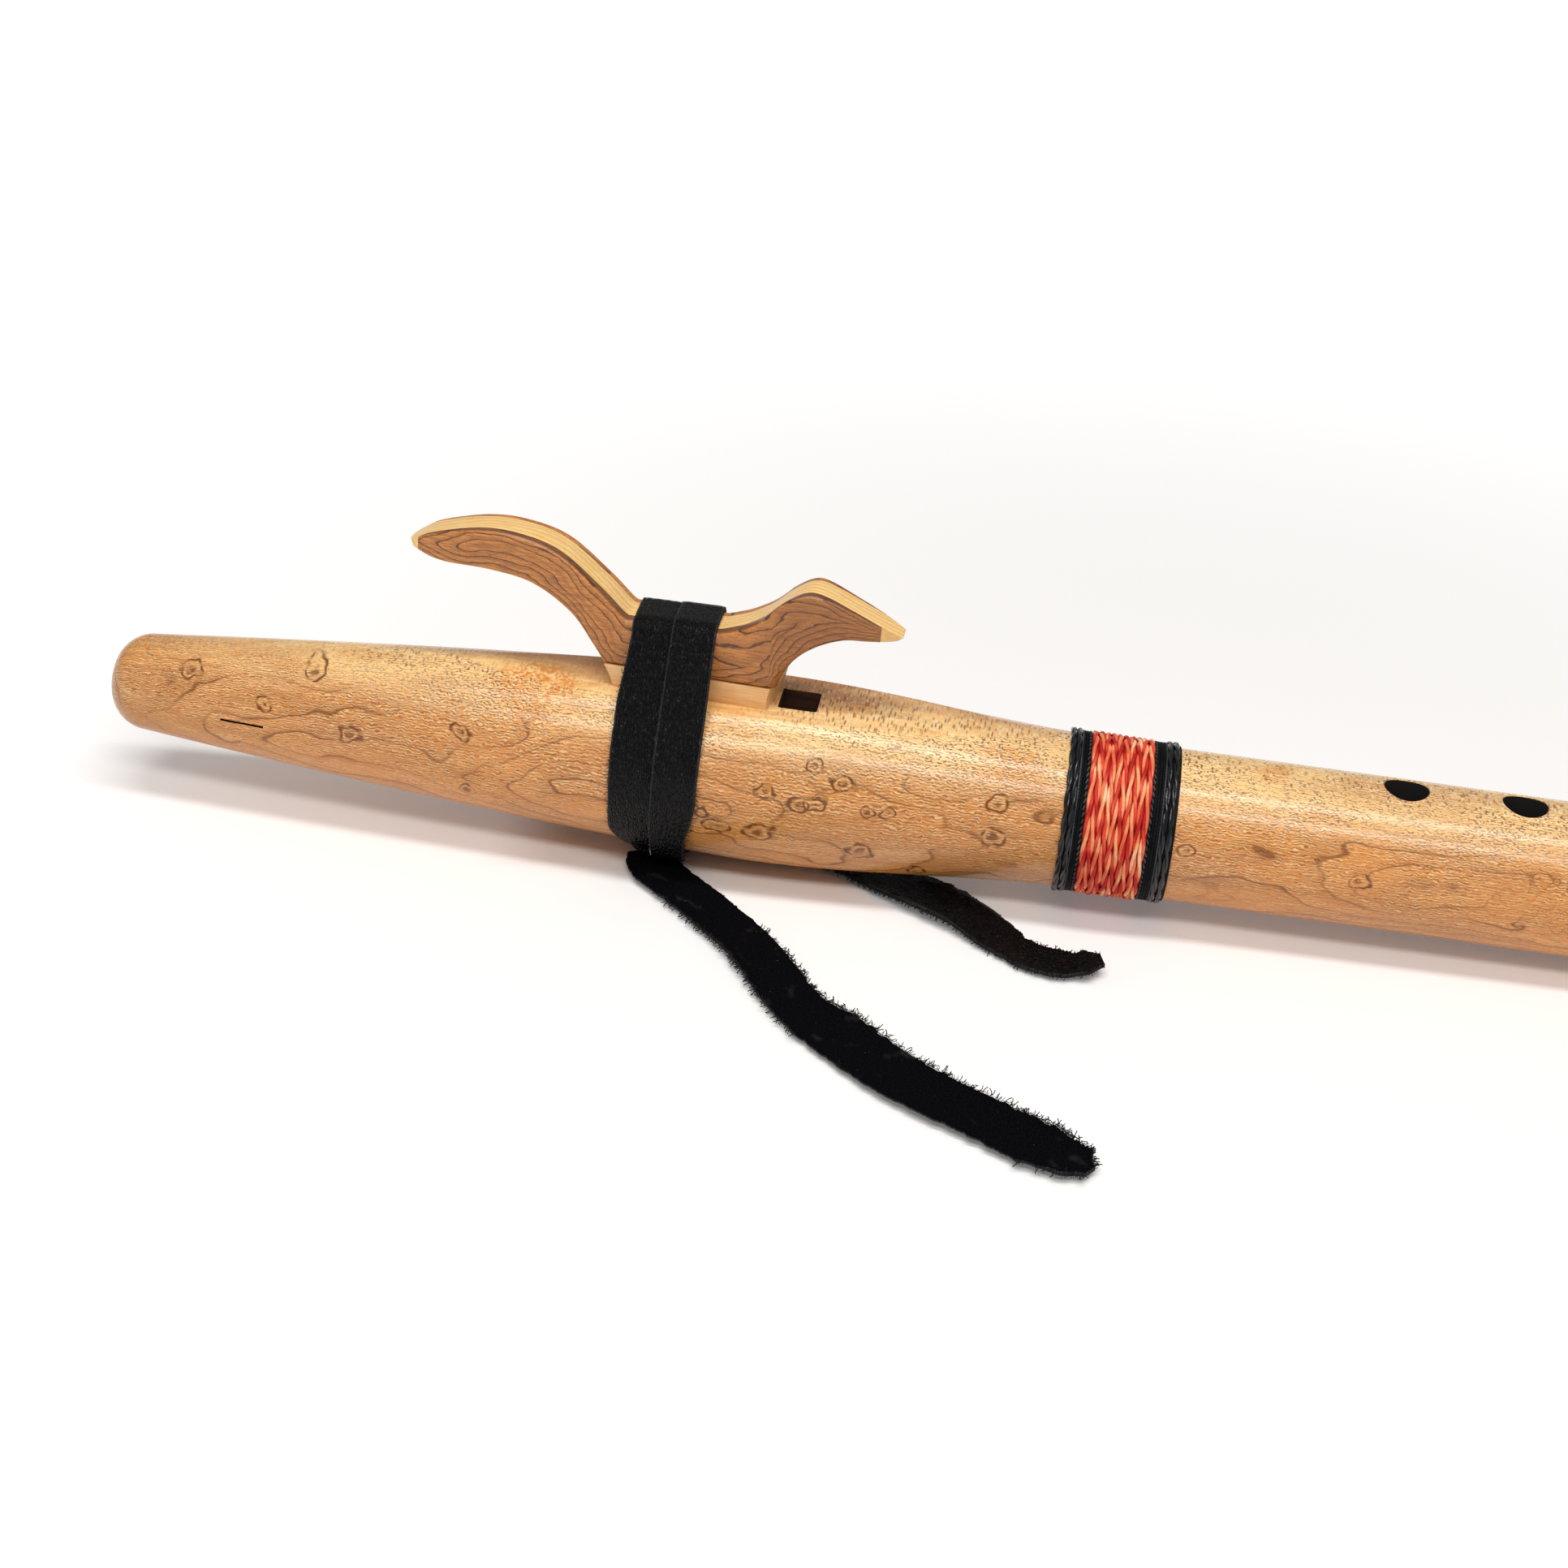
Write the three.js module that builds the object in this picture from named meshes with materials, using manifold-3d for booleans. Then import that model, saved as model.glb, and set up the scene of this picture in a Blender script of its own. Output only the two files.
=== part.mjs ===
import * as THREE from 'three';
import { mergeVertices } from 'three/addons/utils/BufferGeometryUtils.js';
import Module from 'manifold-3d';

// A six-hole Native American style flute with its bird block, leather strap and thread binding.
// Millimetres. Inside the flute group X runs along the bore from the mouth end to the foot, Y goes away
// from the player's near side and Z goes up through the finger holes. The bore's axis is Y = Z = 0.

// Stations along the flute are counted from the mouth end. Most are laid out from the sound hole.
const boreStart = 154.1;
const soundHoleLength = 8.6;
const soundHoleEnd = boreStart + soundHoleLength;

// Body
const fingerHoleCount = 6;
const fingerHoleSpacing = 25.7;
const fingerHoleReach = 130.2;
const firstFingerHole = soundHoleEnd + fingerHoleReach;
const footReach = 91.9;
const bodyLength = firstFingerHole + ( fingerHoleCount - 1 ) * fingerHoleSpacing + footReach;
const mouthRadius = 11.2;
const mouthRounding = 8.2;
const bellyRadius = 21.5;
const bellySetback = 3.8;
const bellyStation = boreStart - bellySetback;
const barrelRadius = 17;
const shoulderLength = 98;
const barrelStation = bellyStation + shoulderLength;
const footRounding = 1.2;
const taperExponent = 1.35;
const shoulderExponent = 1.5;
const nestHeight = 18;
const glueGap = 0.3;

// Air ways
const boreRadius = 11;
const blowHoleRadius = 4;
const blowHoleLength = 22;
const chamberRadius = 9;
const chamberConeEnd = 48;
const partitionLength = 22.8;
const chamberEnd = boreStart - partitionLength;
const airHoleWidth = 10.2;
const exitHoleLength = 9;
const exitHoleSetback = 1;
const exitHoleStart = chamberEnd - exitHoleSetback - exitHoleLength;
const splitEdgeThickness = 1.2;
const splitRampLength = 9;
const fingerHoleRadius = 4.85;

// Bird block
const blockLength = 110;
const blockSetback = 1.3;
const blockHeight = 32.3;
const blockWidth = 13;
const blockCoreWidth = 7.2;
const blockBaseThickness = 5;
const blockTurn = THREE.MathUtils.degToRad( 2.5 );
const blockSeat = 0.3;
const flueDepth = 1.1;

// Leather strap
const laceWidth = 9.3;
const laceThickness = 1.2;
const strapTurnGap = 0.6;
const strapClearance = 0.3;
const strapCornerRadius = 0.6;
const strapCrossingAngle = THREE.MathUtils.degToRad( 36 );
const knotLength = 19;
const knotWidth = 27;
const knotThickness = 1.2;
const knotRise = 1.5;
const knotBulge = 7;
const tailWidth = 12.4;
const tailThickness = 1.4;

// Thread binding
const bindingReach = 56.6;
const bindingStart = soundHoleEnd + bindingReach;
const threadClearance = 0.3;
const blackThreadRadius = 0.39;
const blackThreadPitch = 1.22;
const mouthSideTurns = 4;
const footSideTurns = 5;
const orangeThreadRadius = 0.46;
const orangeThreadPitch = 1.38;
const orangeTurns = 10;

const cutOverrun = 5;
const bodySides = 40;
const threadSides = 6;
const threadStepsPerTurn = 24;

const wasm = await Module();
wasm.setup();

function toSolid( geometry ) {

	const bare = geometry.clone();
	bare.deleteAttribute( 'normal' );
	bare.deleteAttribute( 'uv' );
	const welded = mergeVertices( bare );
	const corners = Array.from( welded.index.array );
	const triVerts = [];
	for ( let i = 0; i < corners.length; i += 3 ) {

		const triangle = corners.slice( i, i + 3 );
		if ( new Set( triangle ).size === 3 ) {

			triVerts.push( ...triangle );

		}

	}

	const mesh = new wasm.Mesh( {
		numProp: 3,
		vertProperties: new Float32Array( welded.attributes.position.array ),
		triVerts: new Uint32Array( triVerts )
	} );
	return new wasm.Manifold( mesh );

}

function toGeometry( solid ) {

	const mesh = solid.getMesh();
	const geometry = new THREE.BufferGeometry();
	geometry.setAttribute( 'position', new THREE.BufferAttribute( mesh.vertProperties, 3 ) );
	geometry.setIndex( new THREE.BufferAttribute( mesh.triVerts, 1 ) );
	return geometry;

}

function boxBetween( x0, x1, y0, y1, z0, z1 ) {

	const box = new THREE.BoxGeometry( x1 - x0, y1 - y0, z1 - z0 );
	return toSolid( box.translate( ( x0 + x1 ) / 2, ( y0 + y1 ) / 2, ( z0 + z1 ) / 2 ) );

}

// A profile of [x, radius] points turned about the X axis
function turned( profile ) {

	const points = profile.map( ( [ x, radius ] ) => new THREE.Vector2( radius, x ) );
	return toSolid( new THREE.LatheGeometry( points, bodySides ).rotateZ( - Math.PI / 2 ) );

}

// An outline drawn in X and Z, given a width across Y
function extrudedAcross( shape, y0, y1, curveSegments ) {

	const options = { depth: y1 - y0, bevelEnabled: false, curveSegments };
	const prism = new THREE.ExtrudeGeometry( shape, options );
	return toSolid( prism.rotateX( Math.PI / 2 ).translate( 0, y1, 0 ) );

}

// A closed skin over rings of points, with its two ends capped
function skinned( rings ) {

	const sides = rings[ 0 ].length;
	const positions = rings.flat().flatMap( ( point ) => point.toArray() );
	const indices = [];
	for ( let r = 0; r < rings.length - 1; r ++ ) {

		for ( let s = 0; s < sides; s ++ ) {

			const a = r * sides + s;
			const b = r * sides + ( s + 1 ) % sides;
			indices.push( a, b, b + sides, a, b + sides, a + sides );

		}

	}

	const last = ( rings.length - 1 ) * sides;
	for ( let s = 1; s < sides - 1; s ++ ) {

		indices.push( 0, s + 1, s );
		indices.push( last, last + s, last + s + 1 );

	}

	const geometry = new THREE.BufferGeometry();
	geometry.setAttribute( 'position', new THREE.Float32BufferAttribute( positions, 3 ) );
	geometry.setIndex( indices );
	return geometry;

}

// The outer radius: a full taper up to the belly, then a shoulder down to the straight barrel
function bodyRadius( x ) {

	if ( x <= bellyStation ) {

		const share = THREE.MathUtils.clamp( ( bellyStation - x ) / ( bellyStation - mouthRounding ), 0, 1 );
		return bellyRadius - ( bellyRadius - mouthRadius ) * share ** taperExponent;

	}

	const share = Math.min( ( x - bellyStation ) / ( barrelStation - bellyStation ), 1 );
	const ease = ( ( 1 + Math.cos( Math.PI * share ) ) / 2 ) ** shoulderExponent;
	return barrelRadius + ( bellyRadius - barrelRadius ) * ease;

}

function bodyOutside() {

	const profile = [[ 0, 0 ]];
	const roundingSteps = 6;
	for ( let i = 0; i <= roundingSteps; i ++ ) {

		const angle = ( i / roundingSteps ) * Math.PI / 2;
		const x = mouthRounding * ( 1 - Math.cos( angle ) );
		profile.push( [ x, mouthRadius - mouthRounding * ( 1 - Math.sin( angle ) ) ] );

	}

	const taperSteps = 12;
	for ( let i = 1; i <= taperSteps; i ++ ) {

		const x = THREE.MathUtils.lerp( mouthRounding, bellyStation, i / taperSteps );
		profile.push( [ x, bodyRadius( x ) ] );

	}

	const shoulderSteps = 12;
	for ( let i = 1; i <= shoulderSteps; i ++ ) {

		const x = THREE.MathUtils.lerp( bellyStation, barrelStation, i / shoulderSteps );
		profile.push( [ x, bodyRadius( x ) ] );

	}

	const footCorner = footRounding * ( 1 - Math.SQRT1_2 );
	profile.push( [ bodyLength - footRounding, barrelRadius ] );
	profile.push( [ bodyLength - footCorner, barrelRadius - footCorner ] );
	profile.push( [ bodyLength, barrelRadius - footRounding ] );
	profile.push( [ bodyLength, 0 ] );
	return turned( profile );

}

// The wedge filed under the sound hole's far edge, which leaves the thin edge that splits the air
function splitRamp() {

	const inside = boreRadius / 2;
	const wedge = new THREE.Shape( [
		new THREE.Vector2( boreStart, inside ),
		new THREE.Vector2( soundHoleEnd + splitRampLength, inside ),
		new THREE.Vector2( soundHoleEnd + splitRampLength, boreRadius - splitEdgeThickness ),
		new THREE.Vector2( soundHoleEnd, nestHeight - splitEdgeThickness ),
		new THREE.Vector2( boreStart, nestHeight - splitEdgeThickness )
	] );
	return extrudedAcross( wedge, - airHoleWidth / 2, airHoleWidth / 2 );

}

function fingerHole( x ) {

	const depth = barrelRadius + cutOverrun;
	const drill = new THREE.CylinderGeometry( fingerHoleRadius, fingerHoleRadius, depth, 28 );
	return toSolid( drill.rotateX( Math.PI / 2 ).translate( x, 0, depth / 2 ) );

}

function hollowBody() {

	const bore = turned( [
		[ boreStart, 0 ],
		[ boreStart, boreRadius ],
		[ bodyLength + cutOverrun, boreRadius ],
		[ bodyLength + cutOverrun, 0 ]
	] );
	const chamber = turned( [
		[ - cutOverrun, 0 ],
		[ - cutOverrun, blowHoleRadius ],
		[ blowHoleLength, blowHoleRadius ],
		[ chamberConeEnd, chamberRadius ],
		[ chamberEnd, chamberRadius ],
		[ chamberEnd, 0 ]
	] );
	const half = airHoleWidth / 2;
	const top = bellyRadius + cutOverrun;
	const nest = boxBetween( 0, bodyLength, - top, top, nestHeight, top );
	const exitHole = boxBetween( exitHoleStart, exitHoleStart + exitHoleLength, - half, half, 0, top );
	const soundHole = boxBetween( boreStart, boreStart + soundHoleLength, - half, half, 0, top );
	let body = bodyOutside();
	for ( const cut of [ nest, bore, chamber, exitHole, soundHole, splitRamp() ] ) {

		body = body.subtract( cut );

	}

	for ( let i = 0; i < fingerHoleCount; i ++ ) {

		body = body.subtract( fingerHole( firstFingerHole + i * fingerHoleSpacing ) );

	}

	return body;

}

// The bird's outline and its plan. Each point is [ share of the block's length, share of its height or
// half width ], counted from the tail's tip and from the nest.
const baseStartShares = [ 0.427, 0 ];
const underTailShares = [
	[ 0.415, 0.1 ], [ 0.38, 0.28 ], [ 0.33, 0.49 ], [ 0.25, 0.655 ], [ 0.16, 0.705 ], [ 0.06, 0.705 ],
	[ 0, 0.8 ]
];
const tailTopShares = [
	[ 0.04, 0.9 ], [ 0.134, 0.985 ], [ 0.217, 0.985 ], [ 0.3, 0.905 ], [ 0.385, 0.69 ]
];
const saddleStartShares = [ 0.437, 0.526 ];
const saddleEndShares = [ 0.648, 0.526 ];
const headTopShares = [
	[ 0.688, 0.58 ], [ 0.722, 0.66 ], [ 0.76, 0.79 ], [ 0.8, 0.87 ], [ 0.84, 0.86 ], [ 0.91, 0.765 ],
	[ 0.98, 0.66 ]
];
const beakShares = [[ 1, 0.63 ], [ 0.982, 0.6 ]];
const throatShares = [
	[ 0.93, 0.586 ], [ 0.88, 0.572 ], [ 0.83, 0.5 ], [ 0.79, 0.385 ], [ 0.763, 0.23 ], [ 0.752, 0.1 ]
];
const baseEndShares = [ 0.75, 0 ];
const planShares = [
	[ 0, 0.12 ], [ 0.012, 0.5 ], [ 0.05, 0.68 ], [ 0.16, 0.84 ], [ 0.3, 0.95 ], [ 0.43, 1 ], [ 0.76, 1 ],
	[ 0.85, 0.82 ], [ 0.92, 0.62 ], [ 0.985, 0.4 ], [ 1, 0.3 ]
];

const blockTailTip = boreStart - blockSetback - baseEndShares[ 0 ] * blockLength;

function onBlock( [ alongShare, upShare ] ) {

	return new THREE.Vector2( blockTailTip + alongShare * blockLength, nestHeight + upShare * blockHeight );

}

// The strap's two turns lie a little nearer the saddle's tail end.
const strapMiddleShare = 0.48;
const strapMiddle = THREE.MathUtils.lerp(
	onBlock( saddleStartShares ).x, onBlock( saddleEndShares ).x, strapMiddleShare
);
const saddleHeight = onBlock( saddleEndShares ).y;
const soleHeight = nestHeight + blockSeat;
const seamHeight = nestHeight + blockBaseThickness;

function blockSideOutline() {

	const outline = new THREE.Shape();
	outline.moveTo( onBlock( baseStartShares ).x, onBlock( baseStartShares ).y );
	outline.splineThru( underTailShares.map( onBlock ) );
	outline.splineThru( [ ...tailTopShares, saddleStartShares ].map( onBlock ) );
	outline.lineTo( onBlock( saddleEndShares ).x, onBlock( saddleEndShares ).y );
	outline.splineThru( headTopShares.map( onBlock ) );
	for ( const point of beakShares.map( onBlock ) ) {

		outline.lineTo( point.x, point.y );

	}

	outline.splineThru( throatShares.map( onBlock ) );
	outline.lineTo( onBlock( baseEndShares ).x, onBlock( baseEndShares ).y );
	outline.closePath();
	return outline;

}

function blockPlanSolid() {

	const near = planShares.map( ( [ alongShare, halfShare ] ) => {

		return new THREE.Vector2( alongShare * blockLength, - halfShare * blockWidth / 2 );

	} );
	const far = near.map( ( point ) => new THREE.Vector2( point.x, - point.y ) ).reverse();
	const plan = new THREE.Shape( near.concat( far ) );
	const depth = blockHeight + 2 * cutOverrun;
	const prism = new THREE.ExtrudeGeometry( plan, { depth, bevelEnabled: false } );
	return toSolid( prism.translate( blockTailTip, 0, nestHeight - cutOverrun ) );

}

// The block is sawn from one side outline and one plan, then parted along its glue lines.
function blockPieces() {

	const half = blockWidth / 2;
	const whole = extrudedAcross( blockSideOutline(), - half, half, 3 ).intersect( blockPlanSolid() );
	const x0 = blockTailTip - cutOverrun;
	const x1 = blockTailTip + blockLength + cutOverrun;
	const top = nestHeight + blockHeight + cutOverrun;
	const coreHalf = ( blockCoreWidth - glueGap ) / 2;
	const sideStart = ( blockCoreWidth + glueGap ) / 2;
	const above = seamHeight + glueGap / 2;
	const flue = boxBetween(
		exitHoleStart, x1, - airHoleWidth / 2, airHoleWidth / 2,
		nestHeight - cutOverrun, soleHeight + flueDepth
	);
	const outside = half + cutOverrun;
	const slab = boxBetween( x0, x1, - outside, outside, soleHeight, seamHeight - glueGap / 2 );
	return {
		block_base: whole.intersect( slab ).subtract( flue ),
		block_core: whole.intersect( boxBetween( x0, x1, - coreHalf, coreHalf, above, top ) ),
		block_near_side: whole.intersect( boxBetween( x0, x1, - outside, - sideStart, above, top ) ),
		block_far_side: whole.intersect( boxBetween( x0, x1, sideStart, outside, above, top ) )
	};

}

// The strap's path in the plane across the flute: round the belly, straight up to the saddle's edge, and
// over the saddle. The outward normal's angle is counted from straight down, towards either side.
const saddleHalfWidth = blockWidth / 2 + laceWidth * Math.sin( blockTurn );
const saddleCornerY = saddleHalfWidth + strapClearance - strapCornerRadius;
const saddleCornerZ = saddleHeight + strapClearance - strapCornerRadius;

function strapPoint( x, stop, lift ) {

	const belly = bodyRadius( x ) + strapClearance;
	const reach = Math.hypot( saddleCornerY, saddleCornerZ );
	const cornerAngle = Math.PI - Math.asin( saddleCornerY / reach );
	const tangent = cornerAngle - Math.acos( ( belly - strapCornerRadius ) / reach );
	const start = stop.onSaddle ? tangent : stop.from;
	const end = stop.onSaddle ? Math.PI : tangent;
	const normal = THREE.MathUtils.lerp( start, end, stop.share );
	const radius = ( stop.onSaddle ? strapCornerRadius : belly ) + lift;
	const y = ( stop.onSaddle ? saddleCornerY : 0 ) + radius * Math.sin( normal );
	const z = ( stop.onSaddle ? saddleCornerZ : 0 ) - radius * Math.cos( normal );
	return new THREE.Vector3( x, - stop.side * y, z );

}

// The stops from low on one side up to the saddle's middle
function strapClimb( x, side ) {

	const bellySteps = 8;
	const cornerSteps = 3;
	const stops = [];
	for ( let i = 0; i <= bellySteps; i ++ ) {

		stops.push( { x, side, onSaddle: false, from: strapCrossingAngle, share: i / bellySteps } );

	}

	for ( let i = 0; i <= cornerSteps; i ++ ) {

		stops.push( { x, side, onSaddle: true, share: i / cornerSteps } );

	}

	return stops;

}

// One lace goes round twice. It starts low on the far side, comes down the near side, crosses under the
// belly to its second place and goes round once more to end low on the near side.
function strapWraps() {

	const near = 1;
	const far = - 1;
	const shift = laceWidth + strapTurnGap;
	const firstX = strapMiddle - shift / 2;
	const secondX = strapMiddle + shift / 2;
	const crossing = [];
	const crossingSteps = 10;
	for ( let i = 1; i < crossingSteps; i ++ ) {

		const share = i / crossingSteps;
		const angle = strapCrossingAngle * ( 1 - 2 * share );
		const x = firstX + shift * ( 1 - Math.cos( Math.PI * share ) ) / 2;
		const side = Math.sign( angle ) || near;
		crossing.push( { x, side, onSaddle: false, from: Math.abs( angle ), share: 0 } );

	}

	const stops = [
		...strapClimb( firstX, far ), ...strapClimb( firstX, near ).reverse(), ...crossing,
		...strapClimb( secondX, far ), ...strapClimb( secondX, near ).reverse()
	];
	const half = laceWidth / 2;
	const rings = stops.map( ( stop ) => [
		strapPoint( stop.x - half, stop, 0 ),
		strapPoint( stop.x + half, stop, 0 ),
		strapPoint( stop.x + half, stop, laceThickness ),
		strapPoint( stop.x - half, stop, laceThickness )
	] );
	reportGap( 'strap_wraps', rings, Math.round( stops.length / 3 ) );
	return skinned( rings );

}

// The least distance between rings that lie at least this many rings apart
function reportGap( name, rings, apart ) {

	let least = Infinity;
	for ( let i = 0; i < rings.length; i ++ ) {

		const others = rings.slice( i + apart ).flat();
		for ( const point of rings[ i ] ) {

			least = others.reduce( ( gap, other ) => Math.min( gap, point.distanceTo( other ) ), least );

		}

	}

	console.log( `${ name }: least gap between turns ${ least.toFixed( 2 ) } mm` );

}

function threadCoil( name, startX, turns, pitch, radius ) {

	const missingTurnShare = 0.08;
	const steps = Math.round( ( turns - missingTurnShare ) * threadStepsPerTurn );
	const centre = ( step ) => {

		const turn = step / threadStepsPerTurn;
		const x = startX + pitch * ( turn + 1 / 2 );
		const reach = bodyRadius( x ) + threadClearance + radius;
		const angle = turn * 2 * Math.PI;
		return new THREE.Vector3( x, - reach * Math.sin( angle ), - reach * Math.cos( angle ) );

	};
	const rings = [];
	const addRing = ( point, tangent ) => {

		const outward = new THREE.Vector3( 0, point.y, point.z ).normalize();
		const sideways = new THREE.Vector3().crossVectors( tangent, outward ).normalize();
		const ring = [];
		for ( let i = 0; i < threadSides; i ++ ) {

			const angle = ( i / threadSides ) * 2 * Math.PI;
			ring.push( point.clone()
				.addScaledVector( outward, radius * Math.cos( angle ) )
				.addScaledVector( sideways, radius * Math.sin( angle ) ) );

		}

		rings.push( ring );

	};
	for ( let step = 0; step <= steps; step ++ ) {

		const tangent = centre( step + 1 / 2 ).sub( centre( step - 1 / 2 ) ).normalize();
		const point = centre( step );
		const straightEnd = tangent.clone().multiplyScalar( 2 * radius );
		if ( step === 0 ) {

			addRing( point.clone().sub( straightEnd ), tangent );

		}

		addRing( point, tangent );
		if ( step === steps ) {

			addRing( point.clone().add( straightEnd ), tangent );

		}

	}

	reportGap( name, rings, threadStepsPerTurn / 2 );
	return skinned( rings );

}

// The flute lies on its knot and on the foot's rim, so its axis dips towards the foot.
const knotTop = bodyRadius( strapMiddle ) + strapClearance + laceThickness + strapClearance;
const knotBottom = knotTop + knotThickness;
const restStation = bodyLength - footRounding;
const restTilt = Math.atan( ( knotBottom - barrelRadius ) / ( restStation - strapMiddle ) );

function strapKnot() {

	const lump = new THREE.SphereGeometry( 1, 20, 12 );
	lump.scale( knotLength / 2, knotWidth / 2, knotBulge ).translate( strapMiddle, 0, knotRise - knotTop );
	const x0 = strapMiddle - knotLength;
	const x1 = strapMiddle + knotLength;
	const above = ( x ) => [ x, bodyRadius( x ) + knotTop - bodyRadius( strapMiddle ) ];
	const wrapped = turned( [[ x0, 0 ], above( x0 ), above( strapMiddle ), above( x1 ), [ x1, 0 ]] );
	const span = knotWidth + cutOverrun;
	const ground = new THREE.BoxGeometry( span, span, knotBulge );
	ground.translate( 0, 0, - knotBulge / 2 ).rotateY( - restTilt ).translate( strapMiddle, 0, - knotBottom );
	return toSolid( lump ).subtract( wrapped ).subtract( toSolid( ground ) );

}

// The free ends lie flat on the table. Their points are counted from the knot's middle.
const frontTailRoute = [
	[ 1.2, - 14.2 ], [ 2.6, - 16.2 ], [ 4.6, - 18.2 ], [ 7, - 20.4 ], [ 9.9, - 23 ],
	[ 13.2, - 26 ], [ 17.5, - 30.6 ], [ 24.9, - 39.3 ], [ 31.5, - 48.9 ], [ 36.5, - 57.3 ],
	[ 41.9, - 64.2 ], [ 49.4, - 71.1 ], [ 56.8, - 78.3 ], [ 64.3, - 84.7 ], [ 72.1, - 89.7 ],
	[ 79, - 93.3 ], [ 85.9, - 97.1 ], [ 91.7, - 100.4 ], [ 97.4, - 103.8 ], [ 102, - 107 ]
];
const rearTailRoute = [
	[ 9.2, 5.2 ], [ 12.9, 6.7 ], [ 17.6, 8.1 ], [ 22.8, 8.8 ], [ 28.2, 8.4 ],
	[ 33.3, 7 ], [ 38.5, 4.7 ], [ 43.4, 2 ], [ 48.4, - 1.2 ], [ 53.1, - 4.8 ],
	[ 58.1, - 8.3 ], [ 63.3, - 11.8 ], [ 68.6, - 15.3 ], [ 74, - 19.2 ], [ 78.7, - 23.8 ],
	[ 83.1, - 28 ], [ 87.7, - 31.2 ], [ 92.8, - 32.7 ], [ 98, - 32.7 ], [ 102.6, - 31.5 ]
];

function laceTail( route, stepsPerPoint ) {

	const curve = new THREE.CatmullRomCurve3(
		route.map( ( [ x, y ] ) => new THREE.Vector3( x, y, tailThickness / 2 ) )
	);
	const halfThick = tailThickness / 2;
	const halfWide = tailWidth / 2;
	const bevel = tailThickness / 4;
	const section = new THREE.Shape( [
		new THREE.Vector2( halfThick, halfWide - bevel ),
		new THREE.Vector2( halfThick - bevel, halfWide ),
		new THREE.Vector2( bevel - halfThick, halfWide ),
		new THREE.Vector2( - halfThick, halfWide - bevel ),
		new THREE.Vector2( - halfThick, bevel - halfWide ),
		new THREE.Vector2( bevel - halfThick, - halfWide ),
		new THREE.Vector2( halfThick - bevel, - halfWide ),
		new THREE.Vector2( halfThick, bevel - halfWide )
	] );
	const steps = ( route.length - 1 ) * stepsPerPoint;
	return new THREE.ExtrudeGeometry( section, { steps, extrudePath: curve, bevelEnabled: false } );

}

const finish = ( color, roughness ) => new THREE.MeshStandardMaterial( { color, roughness, metalness: 0 } );
const maple = finish( 0xd9a066, 0.35 );
const darkPly = finish( 0x7d4a2a, 0.45 );
const lightPly = finish( 0xe6b06a, 0.45 );
const leather = finish( 0x111113, 0.7 );
const blackThread = finish( 0x1a1a1e, 0.5 );
const orangeThread = finish( 0xd9572b, 0.7 );

function addPiece( parent, name, geometry, material ) {

	const mesh = new THREE.Mesh( geometry, material );
	mesh.name = name;
	parent.add( mesh );

}

const flute = new THREE.Group();
flute.rotation.y = restTilt;
flute.position.z = restStation * Math.sin( restTilt ) + barrelRadius * Math.cos( restTilt );

const body = hollowBody();
const reach = bellyRadius + cutOverrun;
const bodyEnd = bodyLength + cutOverrun;
const upperSpace = boxBetween( - cutOverrun, bodyEnd, - reach, reach, glueGap / 2, reach );
const lowerSpace = boxBetween( - cutOverrun, bodyEnd, - reach, reach, - reach, - glueGap / 2 );
addPiece( flute, 'body_upper_half', toGeometry( body.intersect( upperSpace ) ), maple );
addPiece( flute, 'body_lower_half', toGeometry( body.intersect( lowerSpace ) ), maple );

const block = new THREE.Group();
block.position.x = strapMiddle;
block.rotation.z = - blockTurn;
for ( const [ name, solid ] of Object.entries( blockPieces() ) ) {

	const material = name.endsWith( 'side' ) ? darkPly : lightPly;
	addPiece( block, name, toGeometry( solid ).translate( - strapMiddle, 0, 0 ), material );

}

flute.add( block );

addPiece( flute, 'strap_wraps', strapWraps(), leather );
addPiece( flute, 'strap_knot', toGeometry( strapKnot() ), leather );

const orangeStart = bindingStart + mouthSideTurns * blackThreadPitch;
const footSideStart = orangeStart + orangeTurns * orangeThreadPitch;
const black = { pitch: blackThreadPitch, radius: blackThreadRadius, material: blackThread };
const orange = { pitch: orangeThreadPitch, radius: orangeThreadRadius, material: orangeThread };
const bindings = [
	[ 'binding_black_mouth_side', bindingStart, mouthSideTurns, black ],
	[ 'binding_orange', orangeStart, orangeTurns, orange ],
	[ 'binding_black_foot_side', footSideStart, footSideTurns, black ]
];
for ( const [ name, startX, turns, thread ] of bindings ) {

	const coil = threadCoil( name, startX, turns, thread.pitch, thread.radius );
	addPiece( flute, name, coil, thread.material );

}

// The origin is on the table under the middle of the flute's length.
flute.updateMatrixWorld( true );
const extent = new THREE.Box3().setFromObject( flute, true );
flute.position.x = - ( extent.min.x + extent.max.x ) / 2;
flute.updateMatrixWorld( true );

const tails = new THREE.Group();
tails.position.x = new THREE.Vector3( strapMiddle, 0, - knotBottom ).applyMatrix4( flute.matrixWorld ).x;
addPiece( tails, 'strap_front_tail', laceTail( frontTailRoute, 2 ), leather );
addPiece( tails, 'strap_rear_tail', laceTail( rearTailRoute, 2 ), leather );

const part = new THREE.Group();
part.add( flute, tails );

export default part;
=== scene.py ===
"""Looks for a six-hole flute with a bird block: camera, lace, wood, thread and light."""

import math

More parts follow.
